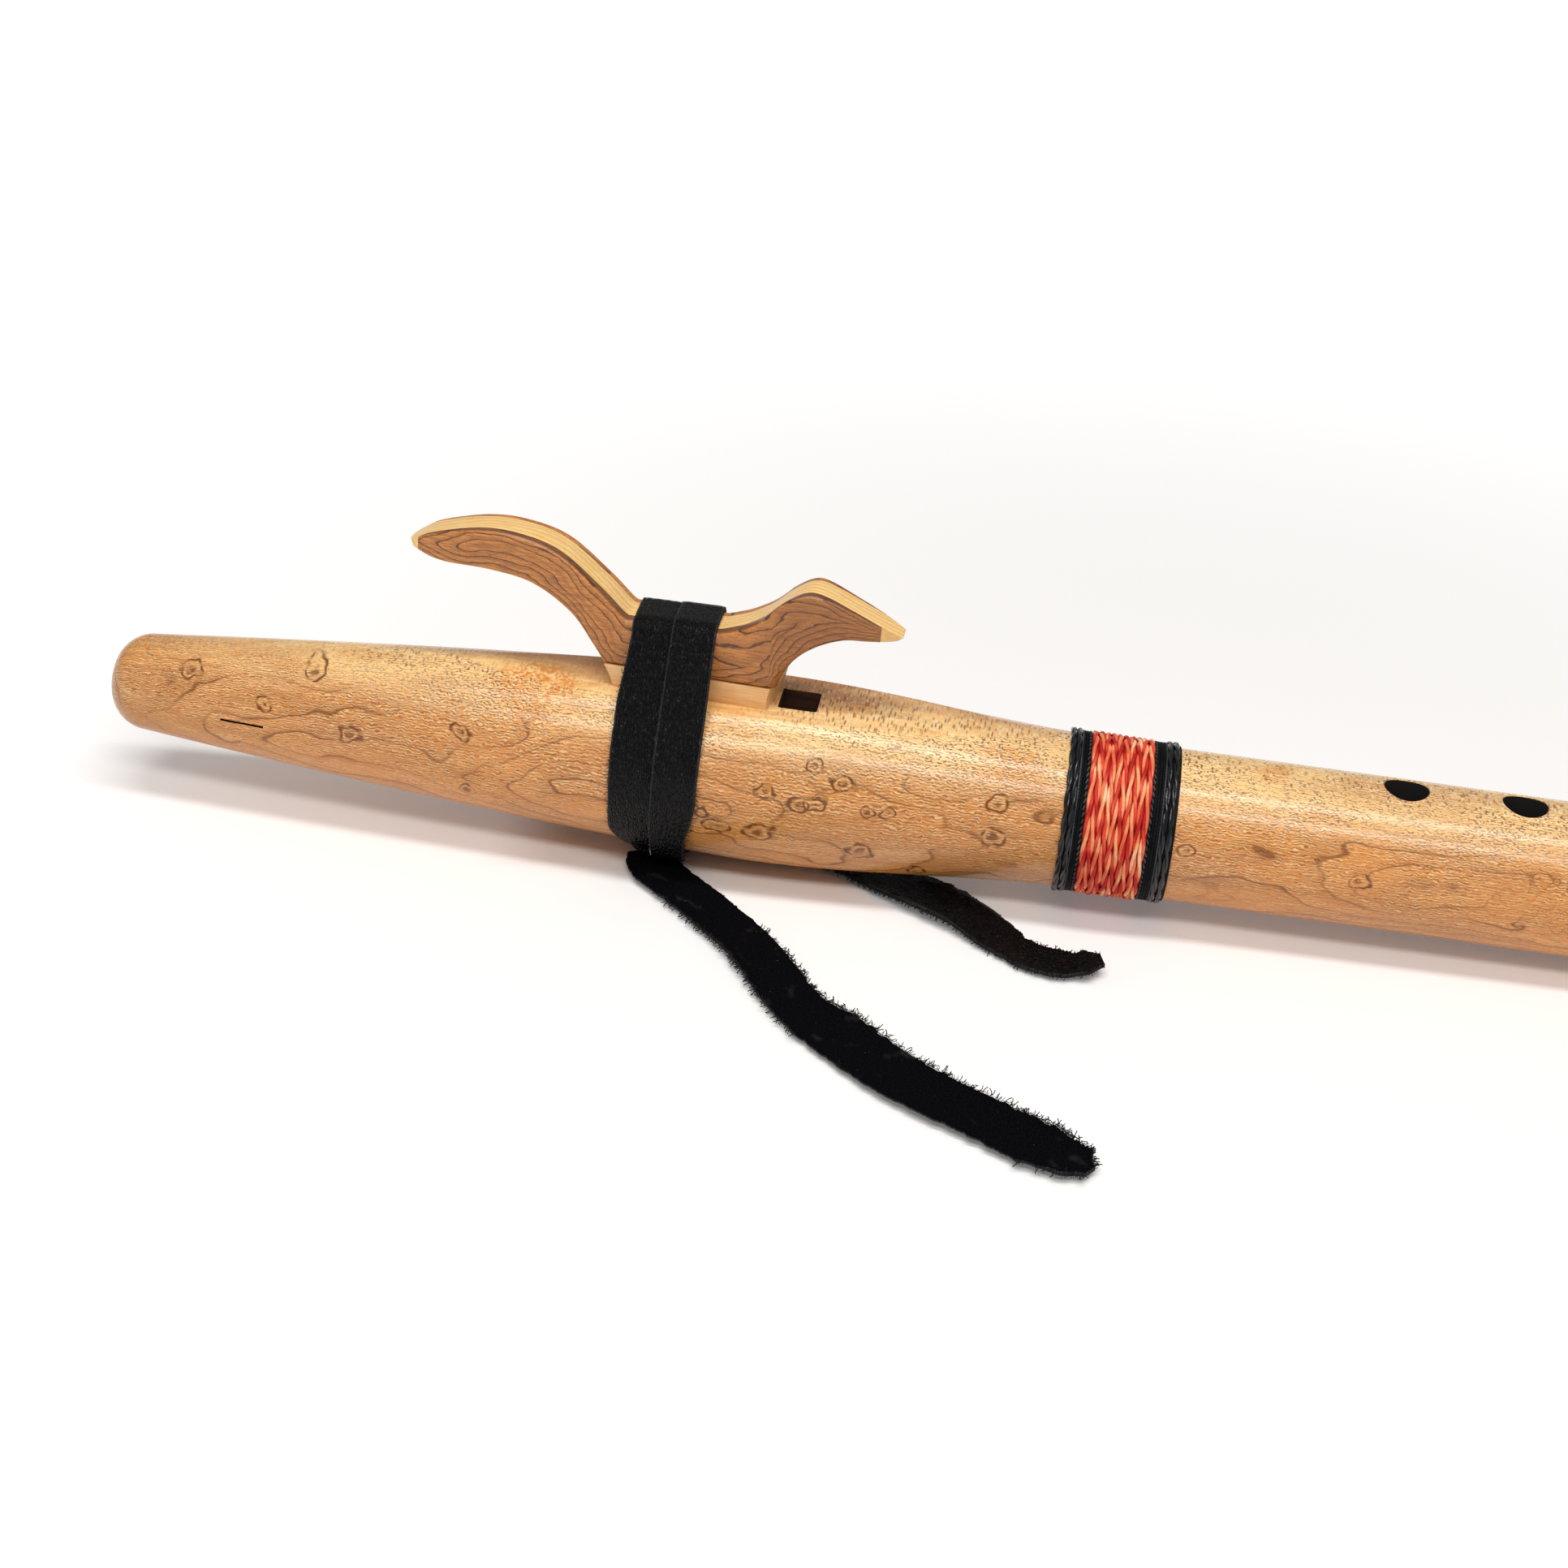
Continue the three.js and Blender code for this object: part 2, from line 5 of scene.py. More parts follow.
import bpy
from mathutils import Matrix, Vector, noise
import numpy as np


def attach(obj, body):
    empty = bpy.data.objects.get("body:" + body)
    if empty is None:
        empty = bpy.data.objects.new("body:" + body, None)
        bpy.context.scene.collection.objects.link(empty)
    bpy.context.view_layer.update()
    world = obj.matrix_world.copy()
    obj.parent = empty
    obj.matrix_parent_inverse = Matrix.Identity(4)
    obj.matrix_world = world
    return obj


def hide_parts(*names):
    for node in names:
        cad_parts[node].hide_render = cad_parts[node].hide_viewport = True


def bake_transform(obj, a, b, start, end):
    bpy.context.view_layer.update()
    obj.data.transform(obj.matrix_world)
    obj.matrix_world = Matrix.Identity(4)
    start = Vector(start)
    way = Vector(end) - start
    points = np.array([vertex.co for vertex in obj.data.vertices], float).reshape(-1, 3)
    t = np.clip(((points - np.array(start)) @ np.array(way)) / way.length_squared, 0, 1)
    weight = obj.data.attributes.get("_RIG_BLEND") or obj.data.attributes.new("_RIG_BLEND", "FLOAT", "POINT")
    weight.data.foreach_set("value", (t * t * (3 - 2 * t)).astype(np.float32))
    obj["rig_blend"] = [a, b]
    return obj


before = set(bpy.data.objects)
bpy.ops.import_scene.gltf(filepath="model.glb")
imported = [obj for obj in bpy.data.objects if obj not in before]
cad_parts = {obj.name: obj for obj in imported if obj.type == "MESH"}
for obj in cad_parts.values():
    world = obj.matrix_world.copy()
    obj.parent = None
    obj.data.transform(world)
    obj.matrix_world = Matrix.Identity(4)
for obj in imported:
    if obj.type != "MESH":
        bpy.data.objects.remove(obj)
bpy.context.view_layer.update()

# Flute sizes, in millimetres, as the solids have them. X runs from the mouth end to the foot, Y away from
# the camera's side, Z up through the finger holes, and the bore's axis is Y = Z = 0.
BORE_START = 154.1
SOUND_HOLE_LENGTH = 8.6
SOUND_HOLE_END = BORE_START + SOUND_HOLE_LENGTH
FINGER_HOLES = 6
FINGER_HOLE_SPACING = 25.7
FIRST_FINGER_HOLE = SOUND_HOLE_END + 130.2
BODY_LENGTH = FIRST_FINGER_HOLE + (FINGER_HOLES - 1) * FINGER_HOLE_SPACING + 91.9
MOUTH_RADIUS = 11.2
MOUTH_ROUNDING = 8.2
BELLY_RADIUS = 21.5
BELLY_STATION = BORE_START - 3.8
BARREL_RADIUS = 17.0
BARREL_STATION = BELLY_STATION + 98
FOOT_ROUNDING = 1.2
NEST_HEIGHT = 18.0
BORE_RADIUS = 11.0
BLOW_HOLE_RADIUS = 4.0
BLOW_HOLE_LENGTH = 22.0
CHAMBER_RADIUS = 9.0
CHAMBER_CONE_END = 48.0
CHAMBER_END = BORE_START - 22.8
AIR_HOLE_WIDTH = 10.2
EXIT_HOLE_START = CHAMBER_END - 10
EXIT_HOLE_LENGTH = 9.0
SPLIT_EDGE = 1.2
SPLIT_RAMP = 9.0
FINGER_HOLE_RADIUS = 4.85
BLOCK_LENGTH = 110.0
BLOCK_HEIGHT = 32.3
BLOCK_WIDTH = 13.0
BLOCK_CORE_WIDTH = 7.2
BLOCK_BASE = 5.0
BLOCK_TURN = math.radians(2.5)
BLOCK_TAIL_TIP = BORE_START - 1.3 - 0.75 * BLOCK_LENGTH
SEAM_HEIGHT = NEST_HEIGHT + BLOCK_BASE
STRAP_MIDDLE = BLOCK_TAIL_TIP + BLOCK_LENGTH * (0.437 + 0.48 * (0.648 - 0.437))
LACE_WIDTH = 9.3
LACE_THICKNESS = 1.2
STRAP_TURN_GAP = 0.6
STRAP_CROSSING = math.radians(36)
LACE_STAYS_BELOW = 36.0
LACE_SLIDES_ABOVE = 51.0
KNOT_BOTTOM_DEPTH = 23.731
BINDING_START = SOUND_HOLE_END + 56.6
REST_TILT = math.radians(1.00792)
FLUTE_ORIGIN = Vector((-256.77989, 0, 26.00552))
KNOT_X = -127.70657
MM = 0.001

FLUTE_TO_ROW = (
    Matrix.Scale(MM, 4)
    @ Matrix.Translation(FLUTE_ORIGIN)
    @ Matrix.Rotation(REST_TILT, 4, "Y")
)
BLOCK_TO_ROW = (
    FLUTE_TO_ROW
    @ Matrix.Translation((STRAP_MIDDLE, 0, 0))
    @ Matrix.Rotation(-BLOCK_TURN, 4, "Z")
    @ Matrix.Translation((-STRAP_MIDDLE, 0, 0))
)
KNOT_TO_ROW = Matrix.Scale(MM, 4) @ Matrix.Translation((KNOT_X, 0, 0))


def lerp(a, b, share):
    return a + (b - a) * share


def smooth(share):
    share = min(max(share, 0), 1)
    return share * share * (3 - 2 * share)


def table_value(table, share):
    """A value read between the points of a given table of (share, value) pairs."""
    for (s0, v0), (s1, v1) in zip(table, table[1:]):
        if share <= s1:
            return lerp(v0, v1, smooth((share - s0) / (s1 - s0)))
    return table[-1][1]


def grain_noise(*place):
    return noise.noise(Vector(place))


def new_object(name, data):
    """An object for a mesh, a camera or a lamp, put in the scene."""
    made = bpy.data.objects.new(name, data)
    bpy.context.scene.collection.objects.link(made)
    return made


# Camera: at the photograph's place and angle, in the flute's own frame. Its sensor is in millimetres.
CAMERA_SENSOR = 36
CAMERA_LENS = 55.9
CAMERA_NEAREST = 0.01
CAMERA_FARTHEST = 30
CAMERA_PLACE = Vector((SOUND_HOLE_END + 39.76, -486.64, 255.87))
CAMERA_RIGHT = Vector((0.98694, 0.13768, 0.08369))
CAMERA_UP = Vector((-0.13816, 0.45589, 0.87925))
CAMERA_FORWARD = Vector((-0.08290, 0.87932, -0.46895))


def make_camera():
    camera = new_object("camera", bpy.data.cameras.new("camera"))
    camera.data.sensor_width = CAMERA_SENSOR
    camera.data.lens = CAMERA_LENS
    camera.data.clip_start = CAMERA_NEAREST
    camera.data.clip_end = CAMERA_FARTHEST
    turn = Matrix((CAMERA_RIGHT, CAMERA_UP, -CAMERA_FORWARD)).transposed()
    tilt = Matrix.Rotation(REST_TILT, 3, "Y")
    camera.matrix_world = Matrix.Translation(FLUTE_TO_ROW @ CAMERA_PLACE) @ (tilt @ turn).to_4x4()
    bpy.context.scene.camera = camera


make_camera()

# The helpers below add their nodes to this tree. A value is set on its socket, and a socket is linked.
tree = None


def use_tree(new_tree):
    global tree
    tree = new_tree
    return tree


def connect(value, socket):
    if isinstance(value, bpy.types.NodeSocket):
        tree.links.new(value, socket)
    else:
        socket.default_value = value


def add_node(kind, inputs=None, **settings):
    node = tree.nodes.new(kind)
    for key, value in settings.items():
        setattr(node, key, value)
    for key, value in (inputs or {}).items():
        connect(value, node.inputs[key])
    return node


def out(kind, inputs=None, **settings):
    """The first output of a new node."""
    return add_node(kind, inputs, **settings).outputs[0]


def calc(operation, a, b=0.0, c=0.0):
    return out("ShaderNodeMath", {0: a, 1: b, 2: c}, operation=operation)


def product(*factors):
    result = factors[0]
    for factor in factors[1:]:
        result = calc("MULTIPLY", result, factor)
    return result


def distance(a, b):
    return calc("ABSOLUTE", calc("SUBTRACT", a, b))


def vector_math(operation, a, b=(0, 0, 0), scale=1.0):
    return out("ShaderNodeVectorMath", {0: a, 1: b, 3: scale}, operation=operation)


def split(place):
    return add_node("ShaderNodeSeparateXYZ", {0: place}).outputs


def scaled(place, x, y, z, shift=(0, 0, 0)):
    return out("ShaderNodeMapping", {"Vector": place, "Scale": (x, y, z), "Location": shift})


def noise_value(place, scale, detail, roughness=0.5, distortion=0.0):
    inputs = {
        "Vector": place, "Scale": scale, "Detail": detail, "Roughness": roughness, "Distortion": distortion,
    }
    return add_node("ShaderNodeTexNoise", inputs).outputs["Fac"]


def grain(place, scales, detail, roughness=0.5, distortion=0.0, shift=(0, 0, 0)):
    """Noise that is drawn out along some directions."""
    return noise_value(scaled(place, *scales, shift), 1.0, detail, roughness, distortion)


def cell_distance(place, x, y, z, shift=(0, 0, 0), **settings):
    """The distance from the middles or edges of strewn cells."""
    inputs = {"Vector": scaled(place, x, y, z, shift), "Scale": 1.0}
    return add_node("ShaderNodeTexVoronoi", inputs, **settings).outputs["Distance"]


def ramp(value, low, high, to_low=0.0, to_high=1.0):
    inputs = {"Value": value, "From Min": low, "From Max": high, "To Min": to_low, "To Max": to_high}
    return out("ShaderNodeMapRange", inputs, interpolation_type="SMOOTHSTEP")


def mixed(share, a, b):
    """A mix of two colours. The share is a socket or a number."""
    a, b = (value if isinstance(value, bpy.types.NodeSocket) else (*value, 1) for value in (a, b))
    return add_node("ShaderNodeMix", {0: share, 6: a, 7: b}, data_type="RGBA").outputs[2]


def painted(colour, *coats):
    """A colour with coats of paint over it, each a share and a colour."""
    for share, coat in coats:
        colour = mixed(share, colour, coat)
    return colour


def new_finish(name):
    material = bpy.data.materials.new(name)
    material.use_nodes = True
    use_tree(material.node_tree).nodes.clear()
    shader = add_node("ShaderNodeBsdfPrincipled")
    add_node("ShaderNodeOutputMaterial", {0: shader.outputs[0]})
    return material, shader


def set_shader(shader, colour, roughness, height=None, depth=0.0, **others):
    """Links or sets colour, roughness, relief and the shader's other sockets that are named."""
    values = {"Base Color": colour, "Roughness": roughness}
    if height is not None:
        values["Normal"] = out("ShaderNodeBump", {"Height": height, "Distance": depth, "Strength": 1.0})
    for key, value in (values | others).items():
        connect(value, shader.inputs[key.replace("_", " ")])


def new_group(name, kind, takes, gives):
    """A node group. Returns it with its inputs' values and its outputs' sockets."""
    group = use_tree(bpy.data.node_groups.new(name, kind))
    for sockets, way in ((takes, "INPUT"), (gives, "OUTPUT")):
        for socket_name, socket_kind in sockets.items():
            group.interface.new_socket(socket_name, in_out=way, socket_type="NodeSocket" + socket_kind)
    return group, add_node("NodeGroupInput").outputs, add_node("NodeGroupOutput").inputs


def flute_place():
    """Object coordinates turned and scaled into the flute's own frame, in millimetres."""
    shift = Matrix.Rotation(-REST_TILT, 3, "Y") @ -FLUTE_ORIGIN
    place = out("ShaderNodeMapping", {
        "Vector": add_node("ShaderNodeTexCoord").outputs["Object"], "Scale": (1 / MM, 1 / MM, 1 / MM),
        "Rotation": (0, -REST_TILT, 0), "Location": shift,
    })
    return place


# The wood's eyes on the near side: station, height, reach and depth, in millimetres.
MAPLE_EYES = [
    (20.7, 9.0, 2.0, 2.4), (49.4, 12.9, 2.1, 2.6), (39.2, 5.1, 1.6, 1.8), (60.1, 2.2, 2.5, 3.4),
    (85.3, 6.7, 2.0, 3.0),
    (86.9, -7.2, 1.6, 2.0), (144.3, -5.1, 2.3, 3.2), (141.2, -2.4, 1.5, 2.2), (154.0, -5.2, 2.9, 3.6),
    (154.7, 5.1, 1.9, 2.6), (161.8, 2.9, 2.0, 3.2), (165.8, 3.3, 1.9, 2.6), (164.4, 11.6, 1.9, 2.0),
    (171.4, 8.7, 2.2, 3.0), (177.3, 2.9, 1.4, 2.4), (181.6, 3.0, 1.4, 2.4), (176.6, -7.4, 2.5, 3.4),
    (204.9, 7.7, 2.1, 3.0), (188.8, -13.2, 1.9, 2.2), (204.7, 0.4, 2.6, 1.4), (246.7, 2.6, 1.5, 2.2),
    (284.6, 1.2, 1.9, 3.0), (329.5, 0.4, 6.5, 9.0), (314.2, 0.4, 3.4, 2.0), (378.0, 4.0, 2.2, 3.0),
    (431.0, -3.0, 2.4, 3.2), (469.0, 6.0, 1.8, 2.6),
]
# A wider one only pushes the rings aside.
WIDEST_DRAWN_EYE = 3.2
CURLY_PATCH = (100.2, -8.8, 16.9)


def eye_group():
    """One bird's eye: its push on the growth rings, its dark outline and heart, and its pale inside."""
    takes = ("Along", "Up", "Station", "Height", "Reach", "Depth", "Wobble")
    gives = ("Push", "Dark", "Pale")
    kinds = dict.fromkeys(takes, "Float"), dict.fromkeys(gives, "Float")
    group, given, results = new_group("birds_eye", "ShaderNodeTree", *kinds)
    along = calc("SUBTRACT", given["Along"], given["Station"])
    up = product(calc("SUBTRACT", given["Up"], given["Height"]), 1.4)
    squares = calc("MULTIPLY_ADD", along, along, product(up, up))
    away = calc("DIVIDE", calc("SQRT", squares), given["Reach"])
    away = calc("ADD", away, given["Wobble"])
    fade = calc("EXPONENT", product(away, away, -1.0))
    connect(product(fade, given["Depth"]), results[0])
    outline = ramp(distance(away, 1.1), 0.34, 0.02)
    heart = product(ramp(away, 0.62, 0.2), 0.85)
    connect(calc("MAXIMUM", outline, heart), results[1])
    connect(ramp(distance(away, 0.85), 0.42, 0.1), results[2])
    return group


def wandering(place, scale, amount, detail=1.0):
    """A place pushed about by noise."""
    inputs = {"Vector": place, "Scale": scale, "Detail": detail}
    push = add_node("ShaderNodeTexNoise", inputs).outputs["Color"]
    push = vector_math("SUBTRACT", push, (0.5, 0.5, 0.5))
    return vector_math("ADD", place, vector_math("SCALE", push, scale=amount))


def cells(place, x, y, z, near, far, shift=(0, 0, 0)):
    """Strewn spots: 1 inside a cell's middle, 0 outside."""
    return ramp(cell_distance(place, x, y, z, shift), far, near)


def maple_finish():
    """Bird's-eye maple: growth rings that the eyes push aside, ray flecks, streaks, painted light on top."""
    eyes = eye_group()
    material, shader = new_finish("birds_eye_maple")
    place = flute_place()
    plain = split(place)
    loose = wandering(wandering(place, 0.1, 2.5), 0.42, 1.1)

    spots = split(wandering(place, 0.22, 1.2, 0.0))
    push, dark, pale = 0.0, 0.0, 0.0
    wobble = ramp(grain(place, (0.42, 0.3, 0.42), 0.5), 0.25, 0.75, -0.3, 0.3)
    for station, height, reach, depth in MAPLE_EYES:
        given = spots[0], spots[2], station, height, reach, depth, wobble
        eye = add_node("ShaderNodeGroup", dict(enumerate(given)), node_tree=eyes)
        push = calc("ADD", push, eye.outputs[0])
        if reach > WIDEST_DRAWN_EYE:
            continue
        dark = calc("MAXIMUM", dark, eye.outputs[1])
        pale = calc("MAXIMUM", pale, eye.outputs[2])
    near = ramp(plain[1], 0.0, -5.0)
    broken = grain(place, (0.45, 0.45, 0.6), 2.0)
    dark = product(dark, near, ramp(broken, 0.36, 0.54, 0.35, 1.0))
    pale = product(pale, near)
    far_eyes = ramp(cell_distance(loose, 0.045, 0.02, 0.075), 0.16, 0.0, 0.0, 3.0)
    far_eyes = product(far_eyes, ramp(plain[1], 2.0, 8.0))
    push = calc("MULTIPLY_ADD", push, near, far_eyes)

    sway = grain(place, (0.016, 0.03, 0.05), 1.0)
    ripple = grain(place, (0.07, 0.1, 0.16), 1.0)
    depth = calc("MULTIPLY_ADD", sway, 16.0, plain[1])
    depth = calc("MULTIPLY_ADD", ripple, 4.5, depth)
    depth = calc("MULTIPLY_ADD", push, 1.0, depth)
    rings = calc("FRACT", product(depth, 0.4))
    line = ramp(distance(rings, 0.5), 0.075, 0.01)
    shade = product(ramp(rings, 0.5, 0.56), ramp(rings, 0.98, 0.56))
    ring_side = ramp(plain[2], 13.5, 8.0, 0.05, 1.0)
    fading = ramp(grain(place, (0.05, 0.1, 0.12), 1.0, shift=(3, 1, 5)), 0.3, 0.65, 0.3, 1.0)

    # Ray flecks: short thin sheets, a little long along the grain and deep across it. On the near side their
    # ends show as fine wavy dashes.
    wavy = wandering(place, 0.75, 0.8)
    nest = ramp(plain[2], 17.5, 17.9)
    fleck = cells(wavy, 1.15, 0.3, 2.9, 0.2, 0.46)
    strokes = cells(place, 1.6, 0.27, 0.7, 0.2, 0.48)
    fleck = out("ShaderNodeMix", {0: nest, 2: fleck, 3: strokes})
    # Painted glints: pale spots beside the flecks, as light caught on them.
    painted_glint = cells(wavy, 1.15, 0.3, 2.9, 0.2, 0.5, (0.1, 0.1, 0.5))
    arc = product(calc("ARCTAN2", plain[2], product(plain[1], -1.0)), BARREL_RADIUS + 2)
    laid = out("ShaderNodeCombineXYZ", {0: plain[0], 1: arc})
    swing = grain(laid, (0.3, 0.42, 1.0), 1.0)
    jitter = grain(laid, (1.0, 0.9, 1.0), 1.0, shift=(4, 0, 2))
    phase = calc("MULTIPLY_ADD", swing, 2.4, product(arc, 1.4))
    phase = calc("MULTIPLY_ADD", jitter, 1.3, phase)
    wave = calc("SINE", product(phase, 2 * math.pi))
    gaps = grain(laid, (0.55, 1.6, 1.0), 1.0, shift=(2, 5, 1))
    dash = product(ramp(wave, 0.0, 0.9), ramp(gaps, 0.4, 0.56))
    # Painted highlight: pale dashes between the dark ones, as light caught on the ridges.
    painted_highlight_dash = product(ramp(wave, 0.0, -0.9), ramp(gaps, 0.36, 0.56))
    patchy = grain(place, (0.05, 0.1, 0.1), 2.0)
    patchy = ramp(patchy, 0.3, 0.62, 0.55, 1.0)
    top = ramp(plain[2], 3.0, 14.0)
    # The mouth end is plainer, and the flat nest has its strokes only on the foot's side of the block
    busy = ramp(plain[0], 30.0, 95.0, 0.35, 1.0)
    stroked = calc("MAXIMUM", ramp(plain[2], 17.9, 17.5), ramp(plain[0], 140.0, 168.0, 0.22, 0.9))
    busy = product(busy, stroked)

    streaks = grain(loose, (0.03, 0.5, 0.5), 3.0, 0.6)
    broad = grain(place, (0.022, 0.07, 0.07), 2.0)
    golden_painted_highlight = (0.97, 0.63, 0.26)
    tan = (0.73, 0.29, 0.072)
    rosy = (0.56, 0.24, 0.095)
    brown = (0.36, 0.13, 0.035)
    # Painted highlight: the top is painted a lighter golden where the light from above falls on it.
    colour = mixed(ramp(plain[2], 7.0, 16.0), tan, golden_painted_highlight)
    colour = painted(
        colour,
        (ramp(plain[2], -3.0, -17.0), (0.8, 0.31, 0.06)),
        (ramp(plain[0], 32.0, 6.0, 0.0, 0.7), (0.6, 0.235, 0.05)),
        (ramp(broad, 0.42, 0.72, 0.0, 0.6), rosy),
        (ramp(streaks, 0.5, 0.75, 0.0, 0.35), brown),
        (ramp(streaks, 0.48, 0.25, 0.0, 0.4), (0.92, 0.52, 0.2)),
    )

    # A curly orange patch in front of the block's tail, warm spots on the shoulders, and a painted
    # reflection that makes the far side of the nest duller
    from_patch = {0: place, 1: CURLY_PATCH}
    around = add_node("ShaderNodeVectorMath", from_patch, operation="DISTANCE").outputs["Value"]
    curl = grain(loose, (0.55, 0.3, 0.9), 3.0, 0.6, 1.5)
    patch = product(ramp(around, 14.0, 6.0), ramp(curl, 0.42, 0.58, 0.0, 1.0))
    warm = grain(place, (0.045, 0.1, 0.1), 2.0, 0.6, 0.6, shift=(7, 2, 4))
    warm = product(ramp(warm, 0.5, 0.7, 0.0, 0.65), ramp(plain[2], 4.0, 12.0))
    colour = mixed(calc("MAXIMUM", patch, warm), colour, (0.72, 0.26, 0.035))
    # Painted reflection: the far side of the flat nest is painted a duller grey-brown.
    nest_painted_reflection = product(nest, ramp(plain[1], 0.5, 4.0, 0.0, 0.5), ramp(patchy, 0.55, 0.9, 0.5, 1.0))
    colour = mixed(nest_painted_reflection, colour, (0.40, 0.2, 0.11))
    strength = product(ramp(plain[2], -16.0, 6.0, 0.45, 0.85), ramp(nest, 1.0, 0.0, 0.12, 1.0))
    # The pale dashes and glints below are painted highlights.
    colour = painted(
        colour,
        (product(painted_highlight_dash, patchy, strength, 0.85), (1.0, 0.74, 0.38)),
        (product(dash, patchy, strength, 0.9), (0.27, 0.085, 0.018)),
        (product(painted_glint, top, patchy, busy, 0.5), (1.0, 0.86, 0.6)),
        (product(fleck, top, patchy, busy, 0.85), (0.23, 0.075, 0.014)),
        (product(shade, ring_side, fading, 0.3), brown),
        (product(line, ring_side, fading, 0.8), (0.2, 0.06, 0.013)),
        (product(pale, 0.14), (0.95, 0.52, 0.17)),
        (product(dark, 0.95), (0.15, 0.038, 0.007)),
    )

    relief = calc("MULTIPLY_ADD", product(fleck, top), -0.8, streaks)
    relief = calc("MULTIPLY_ADD", dash, -0.7, relief)
    relief = calc("MULTIPLY_ADD", calc("MAXIMUM", line, dark), -0.4, relief)
    roughness = ramp(streaks, 0.3, 0.7, 0.24, 0.32)
    set_shader(
        shader, colour, roughness, relief, 0.00007, Specular_IOR_Level=0.26, Coat_Weight=0.34,
        Coat_Roughness=0.17,
    )
    return material


def bare_wood_finish(name, pale, dark, roughness):
    """Wood inside the bore and holes: drilled, unpolished, streaked along the grain."""
    material, shader = new_finish(name)
    place = flute_place()
    streaks = grain(place, (0.08, 1.3, 1.3), 3.0, 0.6)
    rings = grain(place, (2.0, 0.2, 0.2), 1.0)
    colour = mixed(ramp(streaks, 0.3, 0.7), pale, dark)
    set_shader(shader, colour, roughness, rings, 0.00005)
    return material


def ply_place(map_name):
    return out("ShaderNodeUVMap", uv_map=map_name)


def light_ply_finish(name, pale, deep):
    """Pale straight-grained wood of core and base. Its growth rings stand upright along the block."""
    material, shader = new_finish(name)
    place = flute_place()
    parts = split(place)
    sway = grain(place, (0.05, 0.25, 0.1), 2.0)
    rings = calc("FRACT", product(calc("MULTIPLY_ADD", sway, 3.2, parts[1]), 0.62))
    line = product(ramp(rings, 0.0, 0.8), ramp(rings, 1.0, 0.86))
    streaks = grain(place, (0.12, 2.2, 1.6), 3.0, 0.6)
    pores = grain(place, (0.9, 6.0, 6.0), 1.0)
    colour = mixed(ramp(streaks, 0.3, 0.75), pale, deep)
    colour = painted(
        colour,
        (product(line, 0.42), (0.60, 0.28, 0.08)),
        (ramp(pores, 0.56, 0.72, 0.0, 0.22), (0.45, 0.2, 0.07)),
    )
    set_shader(shader, colour, 0.42, streaks, 0.00003, Coat_Weight=0.12, Coat_Roughness=0.35)
    return material


def dark_ply_finish():
    """Brown side ply: nested dark rings that follow the tail, one curved ring in the head, fine pores."""
    material, shader = new_finish("dark_ply")
    ply = split(ply_place("ply"))
    place = flute_place()
    wobble = grain(place, (0.07, 0.3, 0.16), 2.0)
    fine = grain(place, (0.35, 0.5, 1.3), 2.0)
    across = calc("MULTIPLY_ADD", wobble, 0.42, ply[1])
    across = calc("MULTIPLY_ADD", fine, 0.05, calc("SUBTRACT", across, 0.235))
    across = calc("ABSOLUTE", calc("MULTIPLY_ADD", across, 2.0, -1.2))
    tail_end = calc("MAXIMUM", product(calc("SUBTRACT", 0.13, ply[0]), 7.5), 0.0)
    nest = calc("SQRT", calc("ADD", product(across, across), product(tail_end, tail_end)))
    head_ring = product(calc("MAXIMUM", calc("SUBTRACT", ply[0], 0.6), 0.0), 3.2)
    nest = calc("ADD", nest, head_ring)
    rings = calc("FRACT", calc("MULTIPLY_ADD", nest, 3.1, 0.2))
    line = ramp(distance(rings, 0.1), 0.1, 0.02)
    shade = ramp(rings, 0.75, 0.1)
    height = split(place)[2]
    seam = ramp(distance(height, SEAM_HEIGHT), 0.45, 0.1)
    border = calc("MAXIMUM", ramp(ply[1], 0.965, 0.998), product(seam, ramp(ply[0], 0.4, 0.42)))
    border = product(border, ramp(split(place)[1], 1.0, -1.0))
    under_edge = product(ramp(ply[1], 0.1, 0.02), ramp(ply[0], 0.44, 0.4))
    streaks = grain(place, (0.2, 1.0, 2.8), 3.0, 0.65)
    pores = grain(place, (1.1, 4.0, 7.0), 1.0)
    head = ramp(ply[0], 0.66, 0.8, 0.0, 0.45)
    colour = mixed(ramp(streaks, 0.3, 0.72), (0.72, 0.29, 0.068), (0.40, 0.14, 0.036))
    colour = painted(
        colour,
        (head, (0.2, 0.075, 0.028)),
        (product(shade, 0.42), (0.2, 0.07, 0.022)),
        (product(line, 0.85), (0.06, 0.018, 0.006)),
        (product(border, 0.75), (0.09, 0.03, 0.01)),
        (product(under_edge, 0.5), (0.9, 0.5, 0.17)),
        (ramp(pores, 0.58, 0.7, 0.0, 0.5), (0.1, 0.035, 0.015)),
    )
    set_shader(
        shader, colour, 0.4, calc("MULTIPLY_ADD", pores, -0.5, streaks), 0.00005, Coat_Weight=0.15,
        Coat_Roughness=0.3,
    )
    return material


